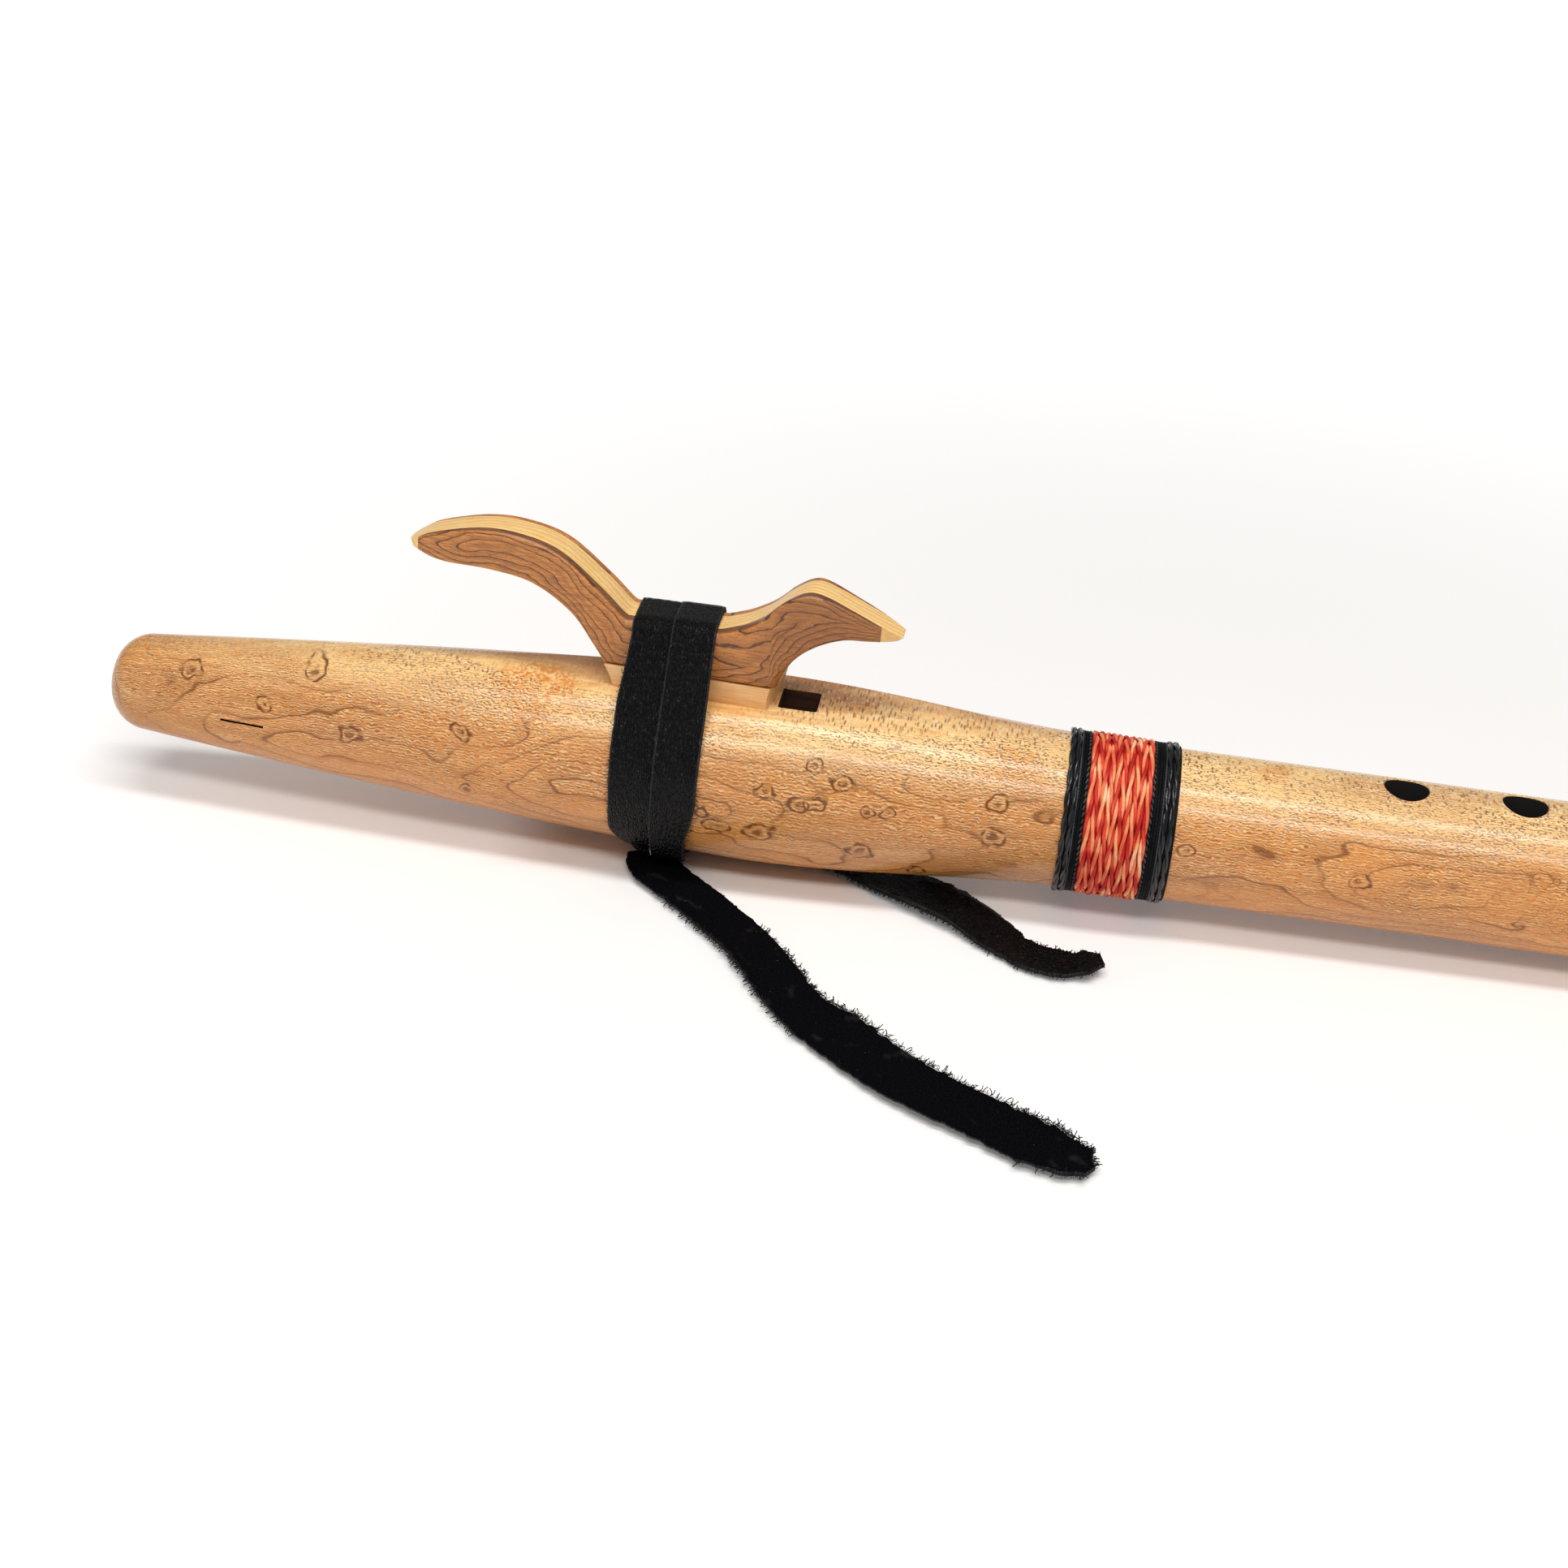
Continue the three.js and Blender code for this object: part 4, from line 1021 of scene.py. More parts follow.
def body_tools(is_upper):
    """Everything that is cut out of a half of the body."""
    reach = BELLY_RADIUS + OVERSHOOT
    end = BODY_LENGTH + OVERSHOOT
    low, high = (-reach, 0) if is_upper else (0, reach)
    tools = [
        box_tool("other_half", (-OVERSHOOT, -reach, low), (end, reach, high)),
        turned_tool(
            "bore_drill", [(BORE_START, 0), (BORE_START, BORE_RADIUS), (end, BORE_RADIUS), (end, 0)],
            BORE_SIDES,
        ),
        turned_tool("chamber_drill", [
            (-OVERSHOOT, 0), (-OVERSHOOT, BLOW_HOLE_RIM), (0.2, BLOW_HOLE_RIM),
            (1.2, BLOW_HOLE_RADIUS + 0.1),
            (2.0, BLOW_HOLE_RADIUS), (BLOW_HOLE_LENGTH, BLOW_HOLE_RADIUS),
            (CHAMBER_CONE_END, CHAMBER_RADIUS),
            (CHAMBER_END, CHAMBER_RADIUS), (CHAMBER_END, 0),
        ], CHAMBER_SIDES),
    ]
    if not is_upper:
        return tools + [box_tool("seam_flaw", FLAW_LOW, FLAW_HIGH)]
    half = AIR_HOLE_WIDTH / 2
    ramp_end = SOUND_HOLE_END + SPLIT_RAMP
    edge_height = NEST_HEIGHT - SPLIT_EDGE
    ramp_points = [
        (BORE_START, BORE_RADIUS / 2), (ramp_end, BORE_RADIUS / 2), (ramp_end, BORE_RADIUS - SPLIT_EDGE),
        (SOUND_HOLE_END, edge_height), (BORE_START, edge_height),
    ]
    tools += [
        box_tool("nest_plane", (0, -reach, NEST_HEIGHT), (BODY_LENGTH, reach, reach)),
        air_hole_tool("exit_chisel", EXIT_HOLE_START, EXIT_HOLE_LENGTH, EXIT_HOLE_CORNER),
        air_hole_tool("sound_chisel", BORE_START, SOUND_HOLE_LENGTH, SOUND_HOLE_CORNER),
        rings_tool("ramp_file", [[(x, y, z) for x, z in ramp_points] for y in (half, -half)]),
    ]
    return tools + [finger_hole_tool(f"drill_{i}", x) for i, x in enumerate(FINGER_HOLE_STATIONS)]


def body_finish(x, y, z, faces_aside, is_upper):
    """Which of the body's finishes a face has, by its middle."""
    reach = BORE_RADIUS if x > CHAMBER_END + 1 else CHAMBER_RADIUS
    reach = BLOW_HOLE_RIM if x < BLOW_HOLE_LENGTH else reach
    if math.hypot(y, z) < reach + 0.05 and 0.3 < x < BODY_LENGTH - 0.5:
        return DRILLED
    if not is_upper:
        in_flaw = 28.8 < x < 39.3 and -0.56 < z < -0.01 and y < 0 and not faces_aside
        return BURNT if in_flaw else PLAIN
    if abs(y) < AIR_HOLE_WIDTH / 2 + 0.02:
        if BORE_START + 1 < x < SOUND_HOLE_END + SPLIT_RAMP and z < NEST_HEIGHT - 0.4:
            return DARK_BROWN
        if EXIT_HOLE_START - 0.1 < x < BORE_START + 1 and z < NEST_HEIGHT - 0.2:
            return DARK_BROWN
    in_hole = any(math.hypot(x - station, y) < FINGER_HOLE_RADIUS + 0.1 for station in FINGER_HOLE_STATIONS)
    return BURNT if in_hole else PLAIN


for half_name, node, is_upper in (
    ("upper_half", "body_upper_half", True), ("lower_half", "body_lower_half", False),
):
    body = turned_tool(half_name, body_profile(), BODY_SIDES)
    tools = body_tools(is_upper)
    for tool in tools:
        cut = body.modifiers.new("cut", "BOOLEAN")
        cut.operation = "DIFFERENCE"
        cut.solver = "MANIFOLD"
        cut.object = tool
    body = kept_result(body)
    for tool in tools:
        bpy.data.objects.remove(tool)
    mesh = body.data
    mesh.materials.clear()
    kinds = [body_finish(*p.center, abs(p.normal.y) >= 0.5, is_upper) for p in mesh.polygons]
    mesh.transform(FLUTE_TO_ROW)
    shade(mesh, BODY_FINISHES, kinds, BODY_SHARP)
    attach(body, "flute")
    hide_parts(node)


# Bird block: lofted along its length from the side outline and the plan, with rounded outer edges.
UNDER_SHARES = [
    (-0.018, 0.8), (0.0, 0.765), (0.06, 0.71), (0.16, 0.705), (0.25, 0.655), (0.33, 0.49), (0.38, 0.28),
    (0.415, 0.1), (0.427, 0),
]
THROAT_SHARES = [
    (0.75, 0), (0.752, 0.1), (0.763, 0.23), (0.79, 0.385), (0.83, 0.5), (0.88, 0.572), (0.93, 0.586),
    (0.982, 0.6),
    (1, 0.63),
]
TOP_SHARES = [
    (-0.018, 0.8), (0.0, 0.835), (0.04, 0.905), (0.134, 0.985), (0.217, 0.985), (0.3, 0.905), (0.385, 0.69),
    (0.437, 0.53), (0.452, 0.51),
]
CROWN_SHARES = [
    (0.634, 0.51), (0.652, 0.53), (0.688, 0.58), (0.722, 0.66), (0.76, 0.79), (0.8, 0.87), (0.84, 0.86),
    (0.91, 0.765), (0.98, 0.66),
    (1, 0.63),
]
PLAN_SHARES = [
    (-0.018, 0.12), (-0.005, 0.5), (0.03, 0.7), (0.1, 0.8), (0.16, 0.86), (0.3, 0.95), (0.43, 1), (0.76, 1),
    (0.85, 0.84), (0.92, 0.67),
    (0.955, 0.57), (0.985, 0.42), (1, 0.3),
]


def read_line(line, share):
    """The height of a left-to-right line at a share of the block's length."""
    if share <= line[0][0]:
        return line[0][1]
    for (s0, v0), (s1, v1) in zip(line, line[1:]):
        if share <= s1 and s1 > s0:
            return lerp(v0, v1, (share - s0) / (s1 - s0))
    return line[-1][1]


def rising(line):
    """Only the points that move on along the block."""
    kept = [line[0]]
    for point in line[1:]:
        if point[0] > kept[-1][0] + 1e-5:
            kept.append(point)
    return kept


OUTLINE_STEPS = 14
BLOCK_STEPS = 120
BLOCK_CORNER_STEPS = 5
UNDER_END = UNDER_SHARES[-1][0]
THROAT_START = THROAT_SHARES[0][0]
UNDER_LINE = rising(smooth_route(UNDER_SHARES, OUTLINE_STEPS))
THROAT_LINE = rising(smooth_route(THROAT_SHARES, OUTLINE_STEPS))
TOP_LINE = rising(smooth_route(TOP_SHARES, OUTLINE_STEPS) + smooth_route(CROWN_SHARES, OUTLINE_STEPS))
BLOCK_STATIONS = {round(s, 5) for s, _ in UNDER_LINE + THROAT_LINE + TOP_LINE}
BLOCK_STATIONS = sorted(BLOCK_STATIONS | {i / BLOCK_STEPS for i in range(BLOCK_STEPS + 1)})


def block_span(share):
    """Lowest and highest height and half width of the whole block there, in millimetres."""
    low = 0.0
    if share < UNDER_END:
        low = read_line(UNDER_LINE, share)
    elif share > THROAT_START:
        low = read_line(THROAT_LINE, share)
    high = max(read_line(TOP_LINE, share), low + 0.002)
    half = read_line(PLAN_SHARES, share) * BLOCK_WIDTH / 2
    return NEST_HEIGHT + low * BLOCK_HEIGHT, NEST_HEIGHT + high * BLOCK_HEIGHT, half


def rounded_section(y0, y1, z0, z1, radii):
    """A section seen along the block, with a radius for each corner: low y0, low y1, high y1, high y0."""
    corners = [(y0, z0, 1, 1, 2), (y1, z0, -1, 1, 3), (y1, z1, -1, -1, 0), (y0, z1, 1, -1, 1)]
    section = []
    limit = min(y1 - y0, z1 - z0) * 0.48
    for (y, z, inward_y, inward_z, first), radius in zip(corners, radii):
        r = max(min(radius, limit), 0.001)
        for s in range(BLOCK_CORNER_STEPS + 1):
            angle = (first + s / BLOCK_CORNER_STEPS) * math.pi / 2
            section.append((y + inward_y * r + r * math.cos(angle), z + inward_z * r + r * math.sin(angle)))
    return section


def end_slant(share, y):
    """How far the block's foot-side end falls back: the end is slanted, and its near corner rounded."""
    window = smooth((share - 0.69) / 0.06) * (1 - smooth((share - 0.765) / 0.1))
    return window * (-0.07 * (y + BLOCK_WIDTH / 2) + 0.9 * smooth((-y - 3.5) / 3.0) ** 2)


def block_piece(name, node, slot, finish, span_of, radii):
    """One glued layer of the block. span_of gives its section's sides at a share of the length, or None."""
    points, maps = [], []
    for share in BLOCK_STATIONS:
        low, high, half = block_span(share)
        span = span_of(low, high, half, share)
        if span is None:
            continue
        section = rounded_section(*span, radii)
        x = BLOCK_TAIL_TIP + share * BLOCK_LENGTH
        points.extend((x - end_slant(share, y), y, z) for y, z in section)
        maps.extend((share, (z - low) / (high - low)) for _, z in section)
    maps = {"ply": maps} if finish is DARK_PLY else {}
    piece = loft(name, points, maps, len(section), [finish], None, BLOCK_TO_ROW, BLOCK_SHARP)
    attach(piece, "bird_block")
    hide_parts(node)


CORE_HALF = BLOCK_CORE_WIDTH / 2
# Thinner or narrower than this, a layer has run out.
THINNEST_CORE = 0.3
THINNEST_BASE = 0.15
NARROWEST_SIDE = 0.04
FLUE_GAP = 0.02
BASE_START = 0.38
BASE_END = 0.8


def core_span(low, high, half, share):
    low = max(low, SEAM_HEIGHT)
    reach = min(half, CORE_HALF)
    return None if high - low < THINNEST_CORE else (-reach, reach, low, high)


def near_span(low, high, half, share):
    low = max(low, SEAM_HEIGHT)
    if half < CORE_HALF + NARROWEST_SIDE or high - low < THINNEST_CORE:
        return None
    return -half, -CORE_HALF, low, high


def far_span(low, high, half, share):
    span = near_span(low, high, half, share)
    return span and (CORE_HALF, half, *span[2:])


def base_span(low, high, half, share):
    low = max(low, NEST_HEIGHT + FLUE_GAP)
    if low > SEAM_HEIGHT - THINNEST_BASE or not BASE_START < share < BASE_END:
        return None
    return -half, half, low, SEAM_HEIGHT


for layer in (
    ("bird_core", "block_core", "light_ply", LIGHT_PLY, core_span, (0.25, 0.25, 0.12, 0.12)),
    ("bird_near_ply", "block_near_side", "dark_ply", DARK_PLY, near_span, (1.6, 0.02, 0.02, 1.9)),
    ("bird_far_ply", "block_far_side", "dark_ply", DARK_PLY, far_span, (0.02, 1.6, 1.9, 0.02)),
    ("bird_base", "block_base", "light_ply", BASE_PLY, base_span, (0.12, 0.12, 0.02, 0.02)),
):
    block_piece(*layer)


# Strap: one lace, twice round the block and the belly, then knotted under the belly.
SADDLE_HEIGHT = NEST_HEIGHT + 0.51 * BLOCK_HEIGHT
STRAP_LIFT = 0.12
STRAP_CORNER = 3.2
# Stops of the strap: on the belly, free of it, round the saddle's corner and over half the saddle
BELLY_STOPS = 40
FREE_STOPS = 24
CORNER_STOPS = 8
SADDLE_CORNER_Y = BLOCK_WIDTH / 2 + LACE_WIDTH * math.sin(BLOCK_TURN) + 0.3 - STRAP_CORNER
SADDLE_CORNER_Z = SADDLE_HEIGHT + STRAP_LIFT - STRAP_CORNER


def strap_place(x, side, normal, over_saddle, lift, slide=0.0):
    """A point on the strap: the outward normal's angle is counted from straight down, on one side."""
    radius = (STRAP_CORNER if over_saddle else body_radius(x) + STRAP_LIFT) + lift
    y = (SADDLE_CORNER_Y * (1 - slide) if over_saddle else 0) + radius * math.sin(normal)
    z = (SADDLE_CORNER_Z if over_saddle else 0) - radius * math.cos(normal)
    return Vector((x, -side * y, z))


def strap_tangent(x):
    reach = math.hypot(SADDLE_CORNER_Y, SADDLE_CORNER_Z)
    corner = math.pi - math.asin(SADDLE_CORNER_Y / reach)
    return corner - math.acos((body_radius(x) + STRAP_LIFT - STRAP_CORNER) / reach)


def strap_climb(x, side):
    """Stops from low on one side up to the saddle's middle: (station, side, normal, over saddle, slide)."""
    tangent = strap_tangent(x)
    belly = (lerp(STRAP_CROSSING, tangent, i / BELLY_STOPS) for i in range(BELLY_STOPS + 1))
    corner = (lerp(tangent, math.pi, i / CORNER_STOPS) for i in range(CORNER_STOPS + 1))
    stops = [(x, side, normal, False, 0) for normal in belly]
    stops += [(x, side, tangent, None, i / FREE_STOPS) for i in range(1, FREE_STOPS)]
    stops += [(x, side, normal, True, 0) for normal in corner]
    stops += [(x, side, math.pi, True, i / CORNER_STOPS) for i in range(1, CORNER_STOPS + 1)]
    return stops


def strap_point_at(stop, v, lift):
    x, side, normal, over_saddle, slide = stop
    if over_saddle is None:
        low = strap_place(x + v, side, normal, False, lift)
        high = strap_place(x + v, side, normal, True, lift)
        return low.lerp(high, slide)
    return strap_place(x + v, side, normal, over_saddle, lift, slide)


LACE_SECTION_STEPS = 18


def lace_section(width, thickness):
    """A lace's outline as (across, height) points: the outer face with soft corners, then the flat back."""
    half = width / 2
    shoulder = thickness * 0.72
    foot = thickness * 0.12
    outer = []
    for across in (math.cos(math.pi * i / LACE_SECTION_STEPS) for i in range(1, LACE_SECTION_STEPS)):
        outer.append((half * across, thickness * (1 - 0.12 * abs(across) ** 6)))
    back = [(-half, foot), (-half * 0.9, 0), (0, 0), (half * 0.9, 0), (half, foot)]
    return [(half, shoulder), *outer, (-half, shoulder), *back]


NEAR, FAR = 1, -1


def first_foot(angle):
    """How the first turn draws in towards the knot: shift along the flute, width's share and extra lift."""
    share = smooth((62 - angle) / 30) if angle > 32 else smooth((angle + 36) / 68)
    return 0.45 * smooth((120 - angle) / 40) * smooth((angle + 36) / 50) + 3.2 * share, 1 - 0.22 * share, 0.0


def second_foot(angle):
    """The second turn narrows, rounds off and laps over the first one."""
    width = 1 - 0.26 * smooth((90 - angle) / 45) - 0.4 * smooth((38 - angle) / 9)
    return -1.1 * smooth((90 - angle) / 32), width, 1.5 * smooth((70 - angle) / 28)


def strap_band(name, stops, foot, seed, wrinkle, head_shift, head_narrowing, level):
    """A lofted band of lace along stops. foot shapes its near lower end, by degrees from straight down."""
    section = lace_section(BAND_WIDTH, LACE_THICKNESS)
    sides = len(section)
    lengths = running_lengths([strap_point_at(stop, 0, LACE_THICKNESS) for stop in stops])
    points, maps = [], []
    edges = [], []
    for u, stop in zip(lengths, stops):
        x, side, normal, over_saddle, slide = stop
        if side == NEAR and over_saddle is False:
            shift, share, rise = foot(math.degrees(normal))
        else:
            head = 1.0 if over_saddle else smooth((slide - 0.3) / 0.7) * (over_saddle is None)
            shift, share, rise = head_shift * head, 1 - head_narrowing * head, -0.15 * head
        stop = (x + shift, *stop[1:])
        for v, lift in section:
            crease = grain_noise(u * 0.22, v * 0.95, seed) + 0.5 * grain_noise(u * 0.6, v * 2.1, seed + 4)
            crease *= wrinkle * (lift / LACE_THICKNESS)
            waver = 0.12 * grain_noise(u * 0.35, math.copysign(5, v), seed) * abs(v) / (BAND_WIDTH / 2)
            points.append(strap_point_at(stop, v * share + waver, lift + crease + level + rise))
            maps.append((u, v))
        for line, sign in zip(edges, (1, -1)):
            edge = strap_point_at(stop, sign * BAND_WIDTH / 2 * share, LACE_THICKNESS * 0.5 + level + rise)
            line.append((edge, Vector((sign, 0, 0))))
    # Pale edge finish on the cut edges, and on the two corner strips as a painted highlight along the seam.
    cut_sides_and_highlight_corners = {0, LACE_SECTION_STEPS - 1, LACE_SECTION_STEPS, sides - 1}
    kinds = [1 if k in cut_sides_and_highlight_corners else 0 for k in range(sides)]
    piece = loft(name, points, {"lace": maps}, sides, [LACE, LACE_EDGE], kinds, FLUTE_TO_ROW, LACE_SHARP)
    return piece, edges


BAND_WIDTH = LACE_WIDTH + 0.8
TURN_SHIFT = LACE_WIDTH + STRAP_TURN_GAP
FIRST_TURN = STRAP_MIDDLE - TURN_SHIFT / 2
SECOND_TURN = STRAP_MIDDLE + TURN_SHIFT / 2
CROSSING_STOPS = 40
TUCK_STOPS = 8
TUCK_ANGLE = 0.16


def turn_stops(x):
    """Stops of a whole turn: up the far side, over the saddle and down the near side."""
    return strap_climb(x, FAR) + strap_climb(x, NEAR)[::-1][1:]


# The first turn crosses under the belly to the second one, whose end is tucked in at the knot.
first_stops = turn_stops(FIRST_TURN)
for share in (i / CROSSING_STOPS for i in range(1, CROSSING_STOPS + 1)):
    x = lerp(FIRST_TURN, SECOND_TURN, (1 - math.cos(math.pi * share)) / 2)
    first_stops.append((x, NEAR, lerp(STRAP_CROSSING, -STRAP_CROSSING, share), False, 0))
second_stops = turn_stops(SECOND_TURN)
for share in (i / TUCK_STOPS for i in range(1, TUCK_STOPS + 1)):
    normal = lerp(STRAP_CROSSING, STRAP_CROSSING - TUCK_ANGLE, share)
    second_stops.append((SECOND_TURN, NEAR, normal, False, 0))
first_band, (_, first_back) = strap_band(
    "lace_first_turn", first_stops, first_foot, 31, 0.085, 0.8, 0.1, 0.0,
)
second_band, (second_front, second_back) = strap_band(
    "lace_second_turn", second_stops, second_foot, 47, 0.05, 0.0, 0.03, 0.3,
)
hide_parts("strap_wraps")
strap_fuzz = edge_fibres(
    "lace_turn_fibres", [(first_back, 0.5, 0.74), (second_front, 0.76, 0.97)],
    FLUTE_TO_ROW, spacing=0.34, length=1.2, radius=0.085, seed=13, finish=BLACK_HAIR,
)
raw_edge = edge_fibres(
    "lace_raw_edge", [(second_back, 0.9, 1.0), (second_back, 0.94, 1.0)],
    FLUTE_TO_ROW, spacing=0.1, length=0.5, radius=0.07, seed=29, finish=PALE_HAIR,
)
# The lace's top goes with the block as it slides, and its lower part stays on the belly.
for piece in (first_band, second_band, strap_fuzz, raw_edge):
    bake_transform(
        piece, "flute", "bird_block", start=(0, 0, LACE_STAYS_BELOW * MM),
        end=(0, 0, LACE_SLIDES_ABOVE * MM),
    )


# Knot: two bands crossed under the belly, held by a third that wraps them, flat where it bears on the table.
KNOT_LACE_THICKNESS = 1.35
KNOT_STEPS = 8
CROSS_SHARES = (0, 0.2, 0.5, 0.8, 1)
CROSS_A_LIFTS = (0.2, 0.3, 0.35, 0.3, 0.2)
CROSS_B_LIFTS = (0.3, 0.6, 0.8, 0.6, 0.3)
CROSS_WIDTH = 8.6
CROSS_ABOVE_TABLE = 0.06
WRAP_WIDTH = 9.6


def knot_band(name, lines, width, seed, above_table):
    """A band through given (place, across direction, outward direction) stops."""
    section = lace_section(width, KNOT_LACE_THICKNESS)
    routes = (smooth_route([tuple(v) for v in vectors], KNOT_STEPS) for vectors in zip(*lines))
    places, acrosses, outwards = ([Vector(v) for v in route] for route in routes)
    points, maps = [], []
    for place, across, outward, length in zip(places, acrosses, outwards, running_lengths(places)):
        for v, lift in section:
            fold = 0.07 * grain_noise(length * 0.4, v * 0.9, seed)
            point = place + across.normalized() * v + outward.normalized() * (lift + fold * lift)
            floor = -KNOT_BOTTOM_DEPTH + (point.x - STRAP_MIDDLE) * math.tan(REST_TILT)
            point.z = max(point.z, floor + above_table)
            points.append(point)
            maps.append((length, v))
    sides = len(section)
    kinds = [0] * sides + [1]
    piece = loft(name, points, {"lace": maps}, sides, [LACE, LACE_EDGE], kinds, FLUTE_TO_ROW, LACE_SHARP)
    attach(piece, "flute")
    return piece


for name, x0, x1, angle0, angle1, lean, lifts, seed in (
    ("knot_cross_a", FIRST_TURN + 1.0, STRAP_MIDDLE + 2.0, -0.7, 0.42, -0.25, CROSS_A_LIFTS, 61),
    ("knot_cross_b", SECOND_TURN - 2.2, STRAP_MIDDLE - 2.0, 0.42, -0.6, 0.25, CROSS_B_LIFTS, 67),
):
    lines = []
    for share, lift in zip(CROSS_SHARES, lifts):
        angle = lerp(angle0, angle1, share)
        x = lerp(x0, x1, share)
        radius = body_radius(x) + lift
        place = Vector((x, -radius * math.sin(angle), -radius * math.cos(angle)))
        lines.append((place, Vector((1, lean, 0)), Vector((0, -math.sin(angle), -math.cos(angle)))))
    knot_band(name, lines, CROSS_WIDTH, seed, CROSS_ABOVE_TABLE)
bottom = -body_radius(STRAP_MIDDLE)
wrap_lines = []
for angle in (math.radians(a) for a in range(-80, 81, 20)):
    place = (
        STRAP_MIDDLE + 5.6 * math.sin(angle), 0.6 * math.sin(angle),
        bottom - 0.6 - 1.6 * math.cos(angle) ** 0.7,
    )
    outward = Vector((math.sin(angle), 0, -math.cos(angle)))
    wrap_lines.append((Vector(place), Vector((0.12, -1, 0)), outward))
wrap = knot_band("knot_wrap", wrap_lines, WRAP_WIDTH, 71, 0.0)
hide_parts("strap_knot")


# Binding: twisted yarns wound on the barrel's shoulder. Each yarn follows a helix.
def yarn_tree():
    """A yarn of twisted plies round a line that winds about the X axis."""
    takes = {
        "Geometry": "Geometry", "Step": "Float", "Ply radius": "Float", "Ply offset": "Float",
        "Flatness": "Float",
        "Twist length": "Float", "First ply": "Material", "Second ply": "Material",
    }
    group, given, results = new_group("twisted_yarn", "GeometryNodeTree", takes, {"Geometry": "Geometry"})
    line = out("GeometryNodeMeshToCurve", {0: given["Geometry"]})
    line = out("GeometryNodeResampleCurve", {"Curve": line, "Length": given["Step"]}, mode="LENGTH")
    outward = vector_math("NORMALIZE", vector_math("MULTIPLY", out("GeometryNodeInputPosition"), (0, 1, 1)))
    sideways = vector_math("CROSS_PRODUCT", out("GeometryNodeInputTangent"), outward)
    spline = add_node("GeometryNodeSplineParameter").outputs
    turn = product(calc("DIVIDE", spline["Length"], given["Twist length"]), 2 * math.pi)

    def marked(geometry, name, value):
        inputs = {"Geometry": geometry, "Name": name, "Value": value}
        return out("GeometryNodeStoreNamedAttribute", inputs, data_type="FLOAT", domain="POINT")

    joined = add_node("GeometryNodeJoinGeometry")
    for ply, finish in enumerate(("First ply", "Second ply")):
        angle = calc("ADD", turn, ply * math.pi)
        reach = product(calc("COSINE", angle), given["Ply offset"], given["Flatness"])
        drift = product(calc("SINE", angle), given["Ply offset"])
        up = vector_math("SCALE", outward, scale=reach)
        shift = vector_math("ADD", up, vector_math("SCALE", sideways, scale=drift))
        bent = marked(
            out("GeometryNodeSetPosition", {"Geometry": line, "Offset": shift}), "along", spline["Length"],
        )
        section = out("GeometryNodeCurvePrimitiveCircle", {"Resolution": 8, "Radius": given["Ply radius"]})
        section = marked(section, "around", spline["Factor"])
        tube = out("GeometryNodeCurveToMesh", {"Curve": bent, "Profile Curve": section, "Fill Caps": True})
        connect(
            out("GeometryNodeSetMaterial", {"Geometry": tube, "Material": given[finish]}), joined.inputs[0],
        )
    real = out("GeometryNodeRealizeInstances", {0: joined.outputs[0]})
    connect(out("GeometryNodeSetShadeSmooth", {"Geometry": real}), results[0])
    return group


YARN = yarn_tree()
YARN_STEP = 0.34
BINDING_LEAN = 0.014
WINDING_SIDES = 96
# The last of each turn, as a share, steps over to the next.
STEP_OVER = 0.16
SLEEVE_STEPS = 8
SLEEVE_DEPTH = 0.1


def leaning_point(x, reach, turn):
    """A point of a winding. Windings lean a little to one end."""
    angle = 2 * math.pi * turn
    height = -reach * math.cos(angle)
    return x - BINDING_LEAN * height, -reach * math.sin(angle), height


def yarn(name, start, pitch, turns, radius, ply_radius, offset, flatness, twist, first, second):
    """One yarn wound from a station towards the foot, each turn laid straight and stepped over at its end. A
    negative twist turns it the other way."""
    steps = int(turns * WINDING_SIDES)
    points = []
    for i in range(steps + 1):
        turn = min(i / WINDING_SIDES, turns - 0.001)
        whole = math.floor(turn)
        over = smooth((turn - whole - (1 - STEP_OVER)) / STEP_OVER) * (whole < turns - 1)
        x = start + pitch * (whole + over)
        points.append(leaning_point(x, body_radius(x) + radius, turn))
    piece = mesh_object(name, points, [], [(i, i + 1) for i in range(steps)])
    piece = run_tree(piece, YARN, {
        "Step": YARN_STEP, "Ply radius": ply_radius, "Ply offset": offset, "Flatness": flatness,
        "Twist length": twist, "First ply": first, "Second ply": second,
    })
    marks = piece.data.attributes
    set_map(piece, "yarn", [(a.value, b.value) for a, b in zip(marks["along"].data, marks["around"].data)])
    for mark in ("along", "around"):
        piece.data.attributes.remove(piece.data.attributes[mark])
    piece.data.transform(FLUTE_TO_ROW)
    return piece


def sleeve(name, start, end, lift, finish):
    """The windings' under layer: a thin coat on the barrel, so that no wood shows between the yarns."""
    stations = [lerp(start, end, i / SLEEVE_STEPS) for i in range(SLEEVE_STEPS + 1)]
    rings = [(start, -SLEEVE_DEPTH)] + [(x, lift) for x in stations] + [(end, -SLEEVE_DEPTH)]
    points = []
    for x, above in rings:
        reach = body_radius(x) + above
        points.extend(leaning_point(x, reach, s / WINDING_SIDES) for s in range(WINDING_SIDES))
    maps = {"yarn": [(p[1], p[2]) for p in points]}
    return loft(name, points, maps, WINDING_SIDES, [finish], None, FLUTE_TO_ROW, PLAIN_SHARP, caps=False)


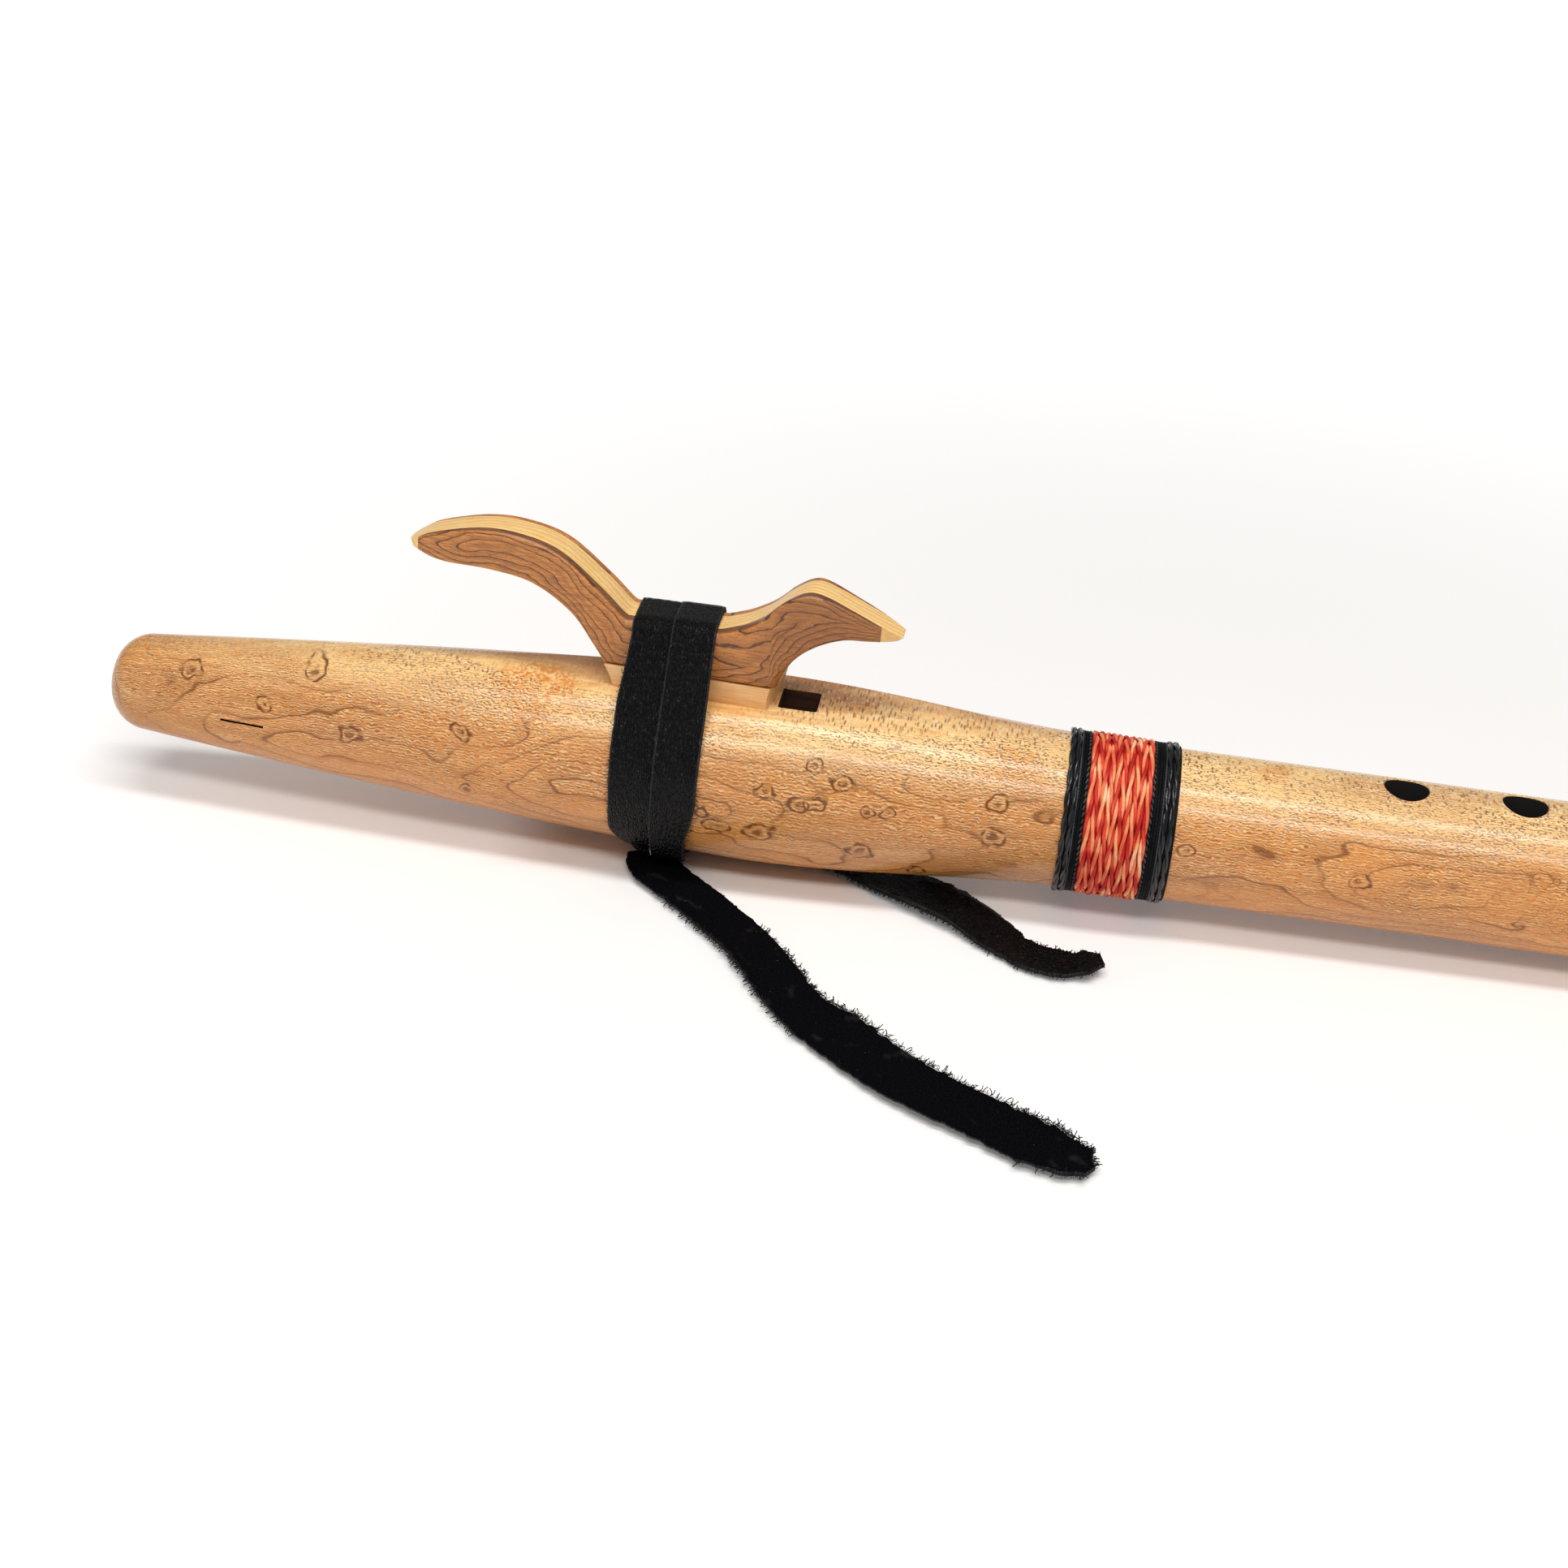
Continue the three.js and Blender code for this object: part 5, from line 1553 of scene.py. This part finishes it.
BLACK_PITCH = 1.22
ORANGE_PITCH = 1.38
ORANGE_START = BINDING_START + 4 * BLACK_PITCH
ORANGE_MIDDLE = ORANGE_START + 0.69
FOOT_START = ORANGE_START + 10 * ORANGE_PITCH
BINDING_END = FOOT_START + 5 * BLACK_PITCH - 0.2
WAX_PLIES = (WAXED_BLACK, WAXED_BLACK)
DULL_PLIES = (DULL_BLACK, DULL_BLACK)
GREY_PLIES = (GREY_THREAD, GREY_THREAD)
EDGE_PLIES = (GREY_THREAD, DULL_BLACK)
ORANGE_PLIES = (RED_THREAD, ORANGE_THREAD)
# Each yarn: start, pitch, turns, radius, ply radius, ply offset, flatness, twist length and its two plies
YARNS = {
    "black_twist_mouth_side": (BINDING_START + 0.66, 1.3, 2, 0.6, 0.4, 0.3, 0.8, 10.4, *WAX_PLIES),
    "grey_line_mouth_side": (BINDING_START + 2.72, 0, 1, 0.66, 0.13, 0.08, 0.8, -1.6, *GREY_PLIES),
    "black_plain_mouth_side": (BINDING_START + 3.12, 0.62, 2, 0.48, 0.25, 0.13, 0.7, 1.9, *DULL_PLIES),
    "grey_edge_mouth_side": (BINDING_START + 4.42, 0, 1, 0.6, 0.22, 0.12, 0.8, 1.5, *EDGE_PLIES),
    "orange_twist": (ORANGE_MIDDLE, 2 * ORANGE_PITCH, 5, 0.56, 0.42, 0.33, 0.8, 12.0, *ORANGE_PLIES),
    "red_twist": (
        ORANGE_MIDDLE + ORANGE_PITCH, 2 * ORANGE_PITCH, 5, 0.56, 0.42, 0.33, 0.8, -12.9, *ORANGE_PLIES,
    ),
    "grey_edge_foot_side": (FOOT_START + 0.32, 0, 1, 0.6, 0.22, 0.12, 0.8, -1.5, *EDGE_PLIES),
    "black_plain_foot_side": (FOOT_START + 0.92, 0.64, 3, 0.48, 0.26, 0.13, 0.7, 2.1, *DULL_PLIES),
    "grey_line_foot_side": (FOOT_START + 2.66, 0, 1, 0.66, 0.13, 0.08, 0.8, 1.7, *GREY_PLIES),
    "black_twist_foot_side": (FOOT_START + 3.42, 1.34, 2, 0.6, 0.42, 0.3, 0.8, -11.2, *WAX_PLIES),
}
SLEEVES = {
    "black_under_layer_mouth_side": (BINDING_START + 0.25, ORANGE_START, 0.42, DULL_BLACK),
    # The red under layer's dark red is painted shade between the yarns.
    "red_under_layer": (ORANGE_START, FOOT_START, 0.45, DEEP_RED_PAINTED_SHADE),
    "black_under_layer_foot_side": (FOOT_START, BINDING_END, 0.42, DULL_BLACK),
}
windings = {name: yarn(name, *values) for name, values in YARNS.items()}
windings.update({name: sleeve(name, *values) for name, values in SLEEVES.items()})
for name, piece in windings.items():
    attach(piece, "flute")
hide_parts("binding_black_mouth_side")
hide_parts("binding_orange")
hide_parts("binding_black_foot_side")


# Table, world and lamps
TABLE_REACH = 6.0
KNOT_SHADE_X = (KNOT_X + 10) * MM


def make_table():
    material, shader = new_finish("white_table")
    place = add_node("ShaderNodeTexCoord").outputs["Object"]
    colour = mixed(noise_value(place, 6.0, 2.0), (0.87, 0.86, 0.855), (0.885, 0.875, 0.87))
    rays = add_node("ShaderNodeLightPath").outputs
    bent = calc("MAXIMUM", rays["Is Glossy Ray"], rays["Is Transmission Ray"])
    seen = calc("MAXIMUM", rays["Is Camera Ray"], bent)
    far_off = add_node("ShaderNodeVectorMath", {0: place}, operation="LENGTH").outputs["Value"]
    parts = split(place)
    # Painted shadow: the glow seen by camera rays is cut out under the belly round the knot.
    across = ramp(calc("ABSOLUTE", parts[1]), 0.013, 0.021)
    along = ramp(distance(parts[0], KNOT_SHADE_X), 0.03, 0.052)
    glow_with_painted_shadow = product(ramp(far_off, 0.1, 0.8, 0.12, 0.78), calc("MAXIMUM", across, along))
    set_shader(
        shader, colour, 0.9, Specular_IOR_Level=0.1, Emission_Color=(1, 1, 1, 1),
        Emission_Strength=product(seen, glow_with_painted_shadow),
    )
    corners = [(x * TABLE_REACH, y * TABLE_REACH, 0) for x, y in ((-1, -1), (1, -1), (1, 1), (-1, 1))]
    table = mesh_object("table", corners, [(0, 1, 2, 3)])
    shade(table.data, [material], None, PLAIN_SHARP)


def make_room():
    world = bpy.data.worlds.new("room")
    bpy.context.scene.world = world
    world.use_nodes = True
    background = use_tree(world.node_tree).nodes["Background"]
    background.inputs["Color"].default_value = (1, 0.985, 0.97, 1)
    rays = add_node("ShaderNodeLightPath").outputs
    seen = calc("MAXIMUM", rays["Is Camera Ray"], rays["Is Transmission Ray"])
    strength = out("ShaderNodeMapRange", {"Value": seen, "To Min": 0.27, "To Max": 1.0})
    connect(strength, background.inputs["Strength"])


LAMP_AIM = Vector((-0.03, 0.0, 0.0))
LAMP_LENGTH = 1.0
LAMP_WIDTH = 0.18


def add_lamp(name, place, power):
    lamp = new_object(name, bpy.data.lights.new(name, "AREA"))
    lamp.data.shape = "RECTANGLE"
    lamp.data.size = LAMP_LENGTH
    lamp.data.size_y = LAMP_WIDTH
    lamp.data.energy = power
    lamp.data.color = (1, 0.985, 0.965)
    lamp.location = place
    lamp.rotation_mode = "QUATERNION"
    lamp.rotation_quaternion = (LAMP_AIM - Vector(place)).to_track_quat("-Z", "Y")


make_table()
make_room()
add_lamp("long_overhead", (-0.03, -0.21, 1.18), 7.6)
add_lamp("long_front", (-0.03, -0.72, 0.95), 5.7)

bpy.context.scene.view_settings.view_transform = "Standard"
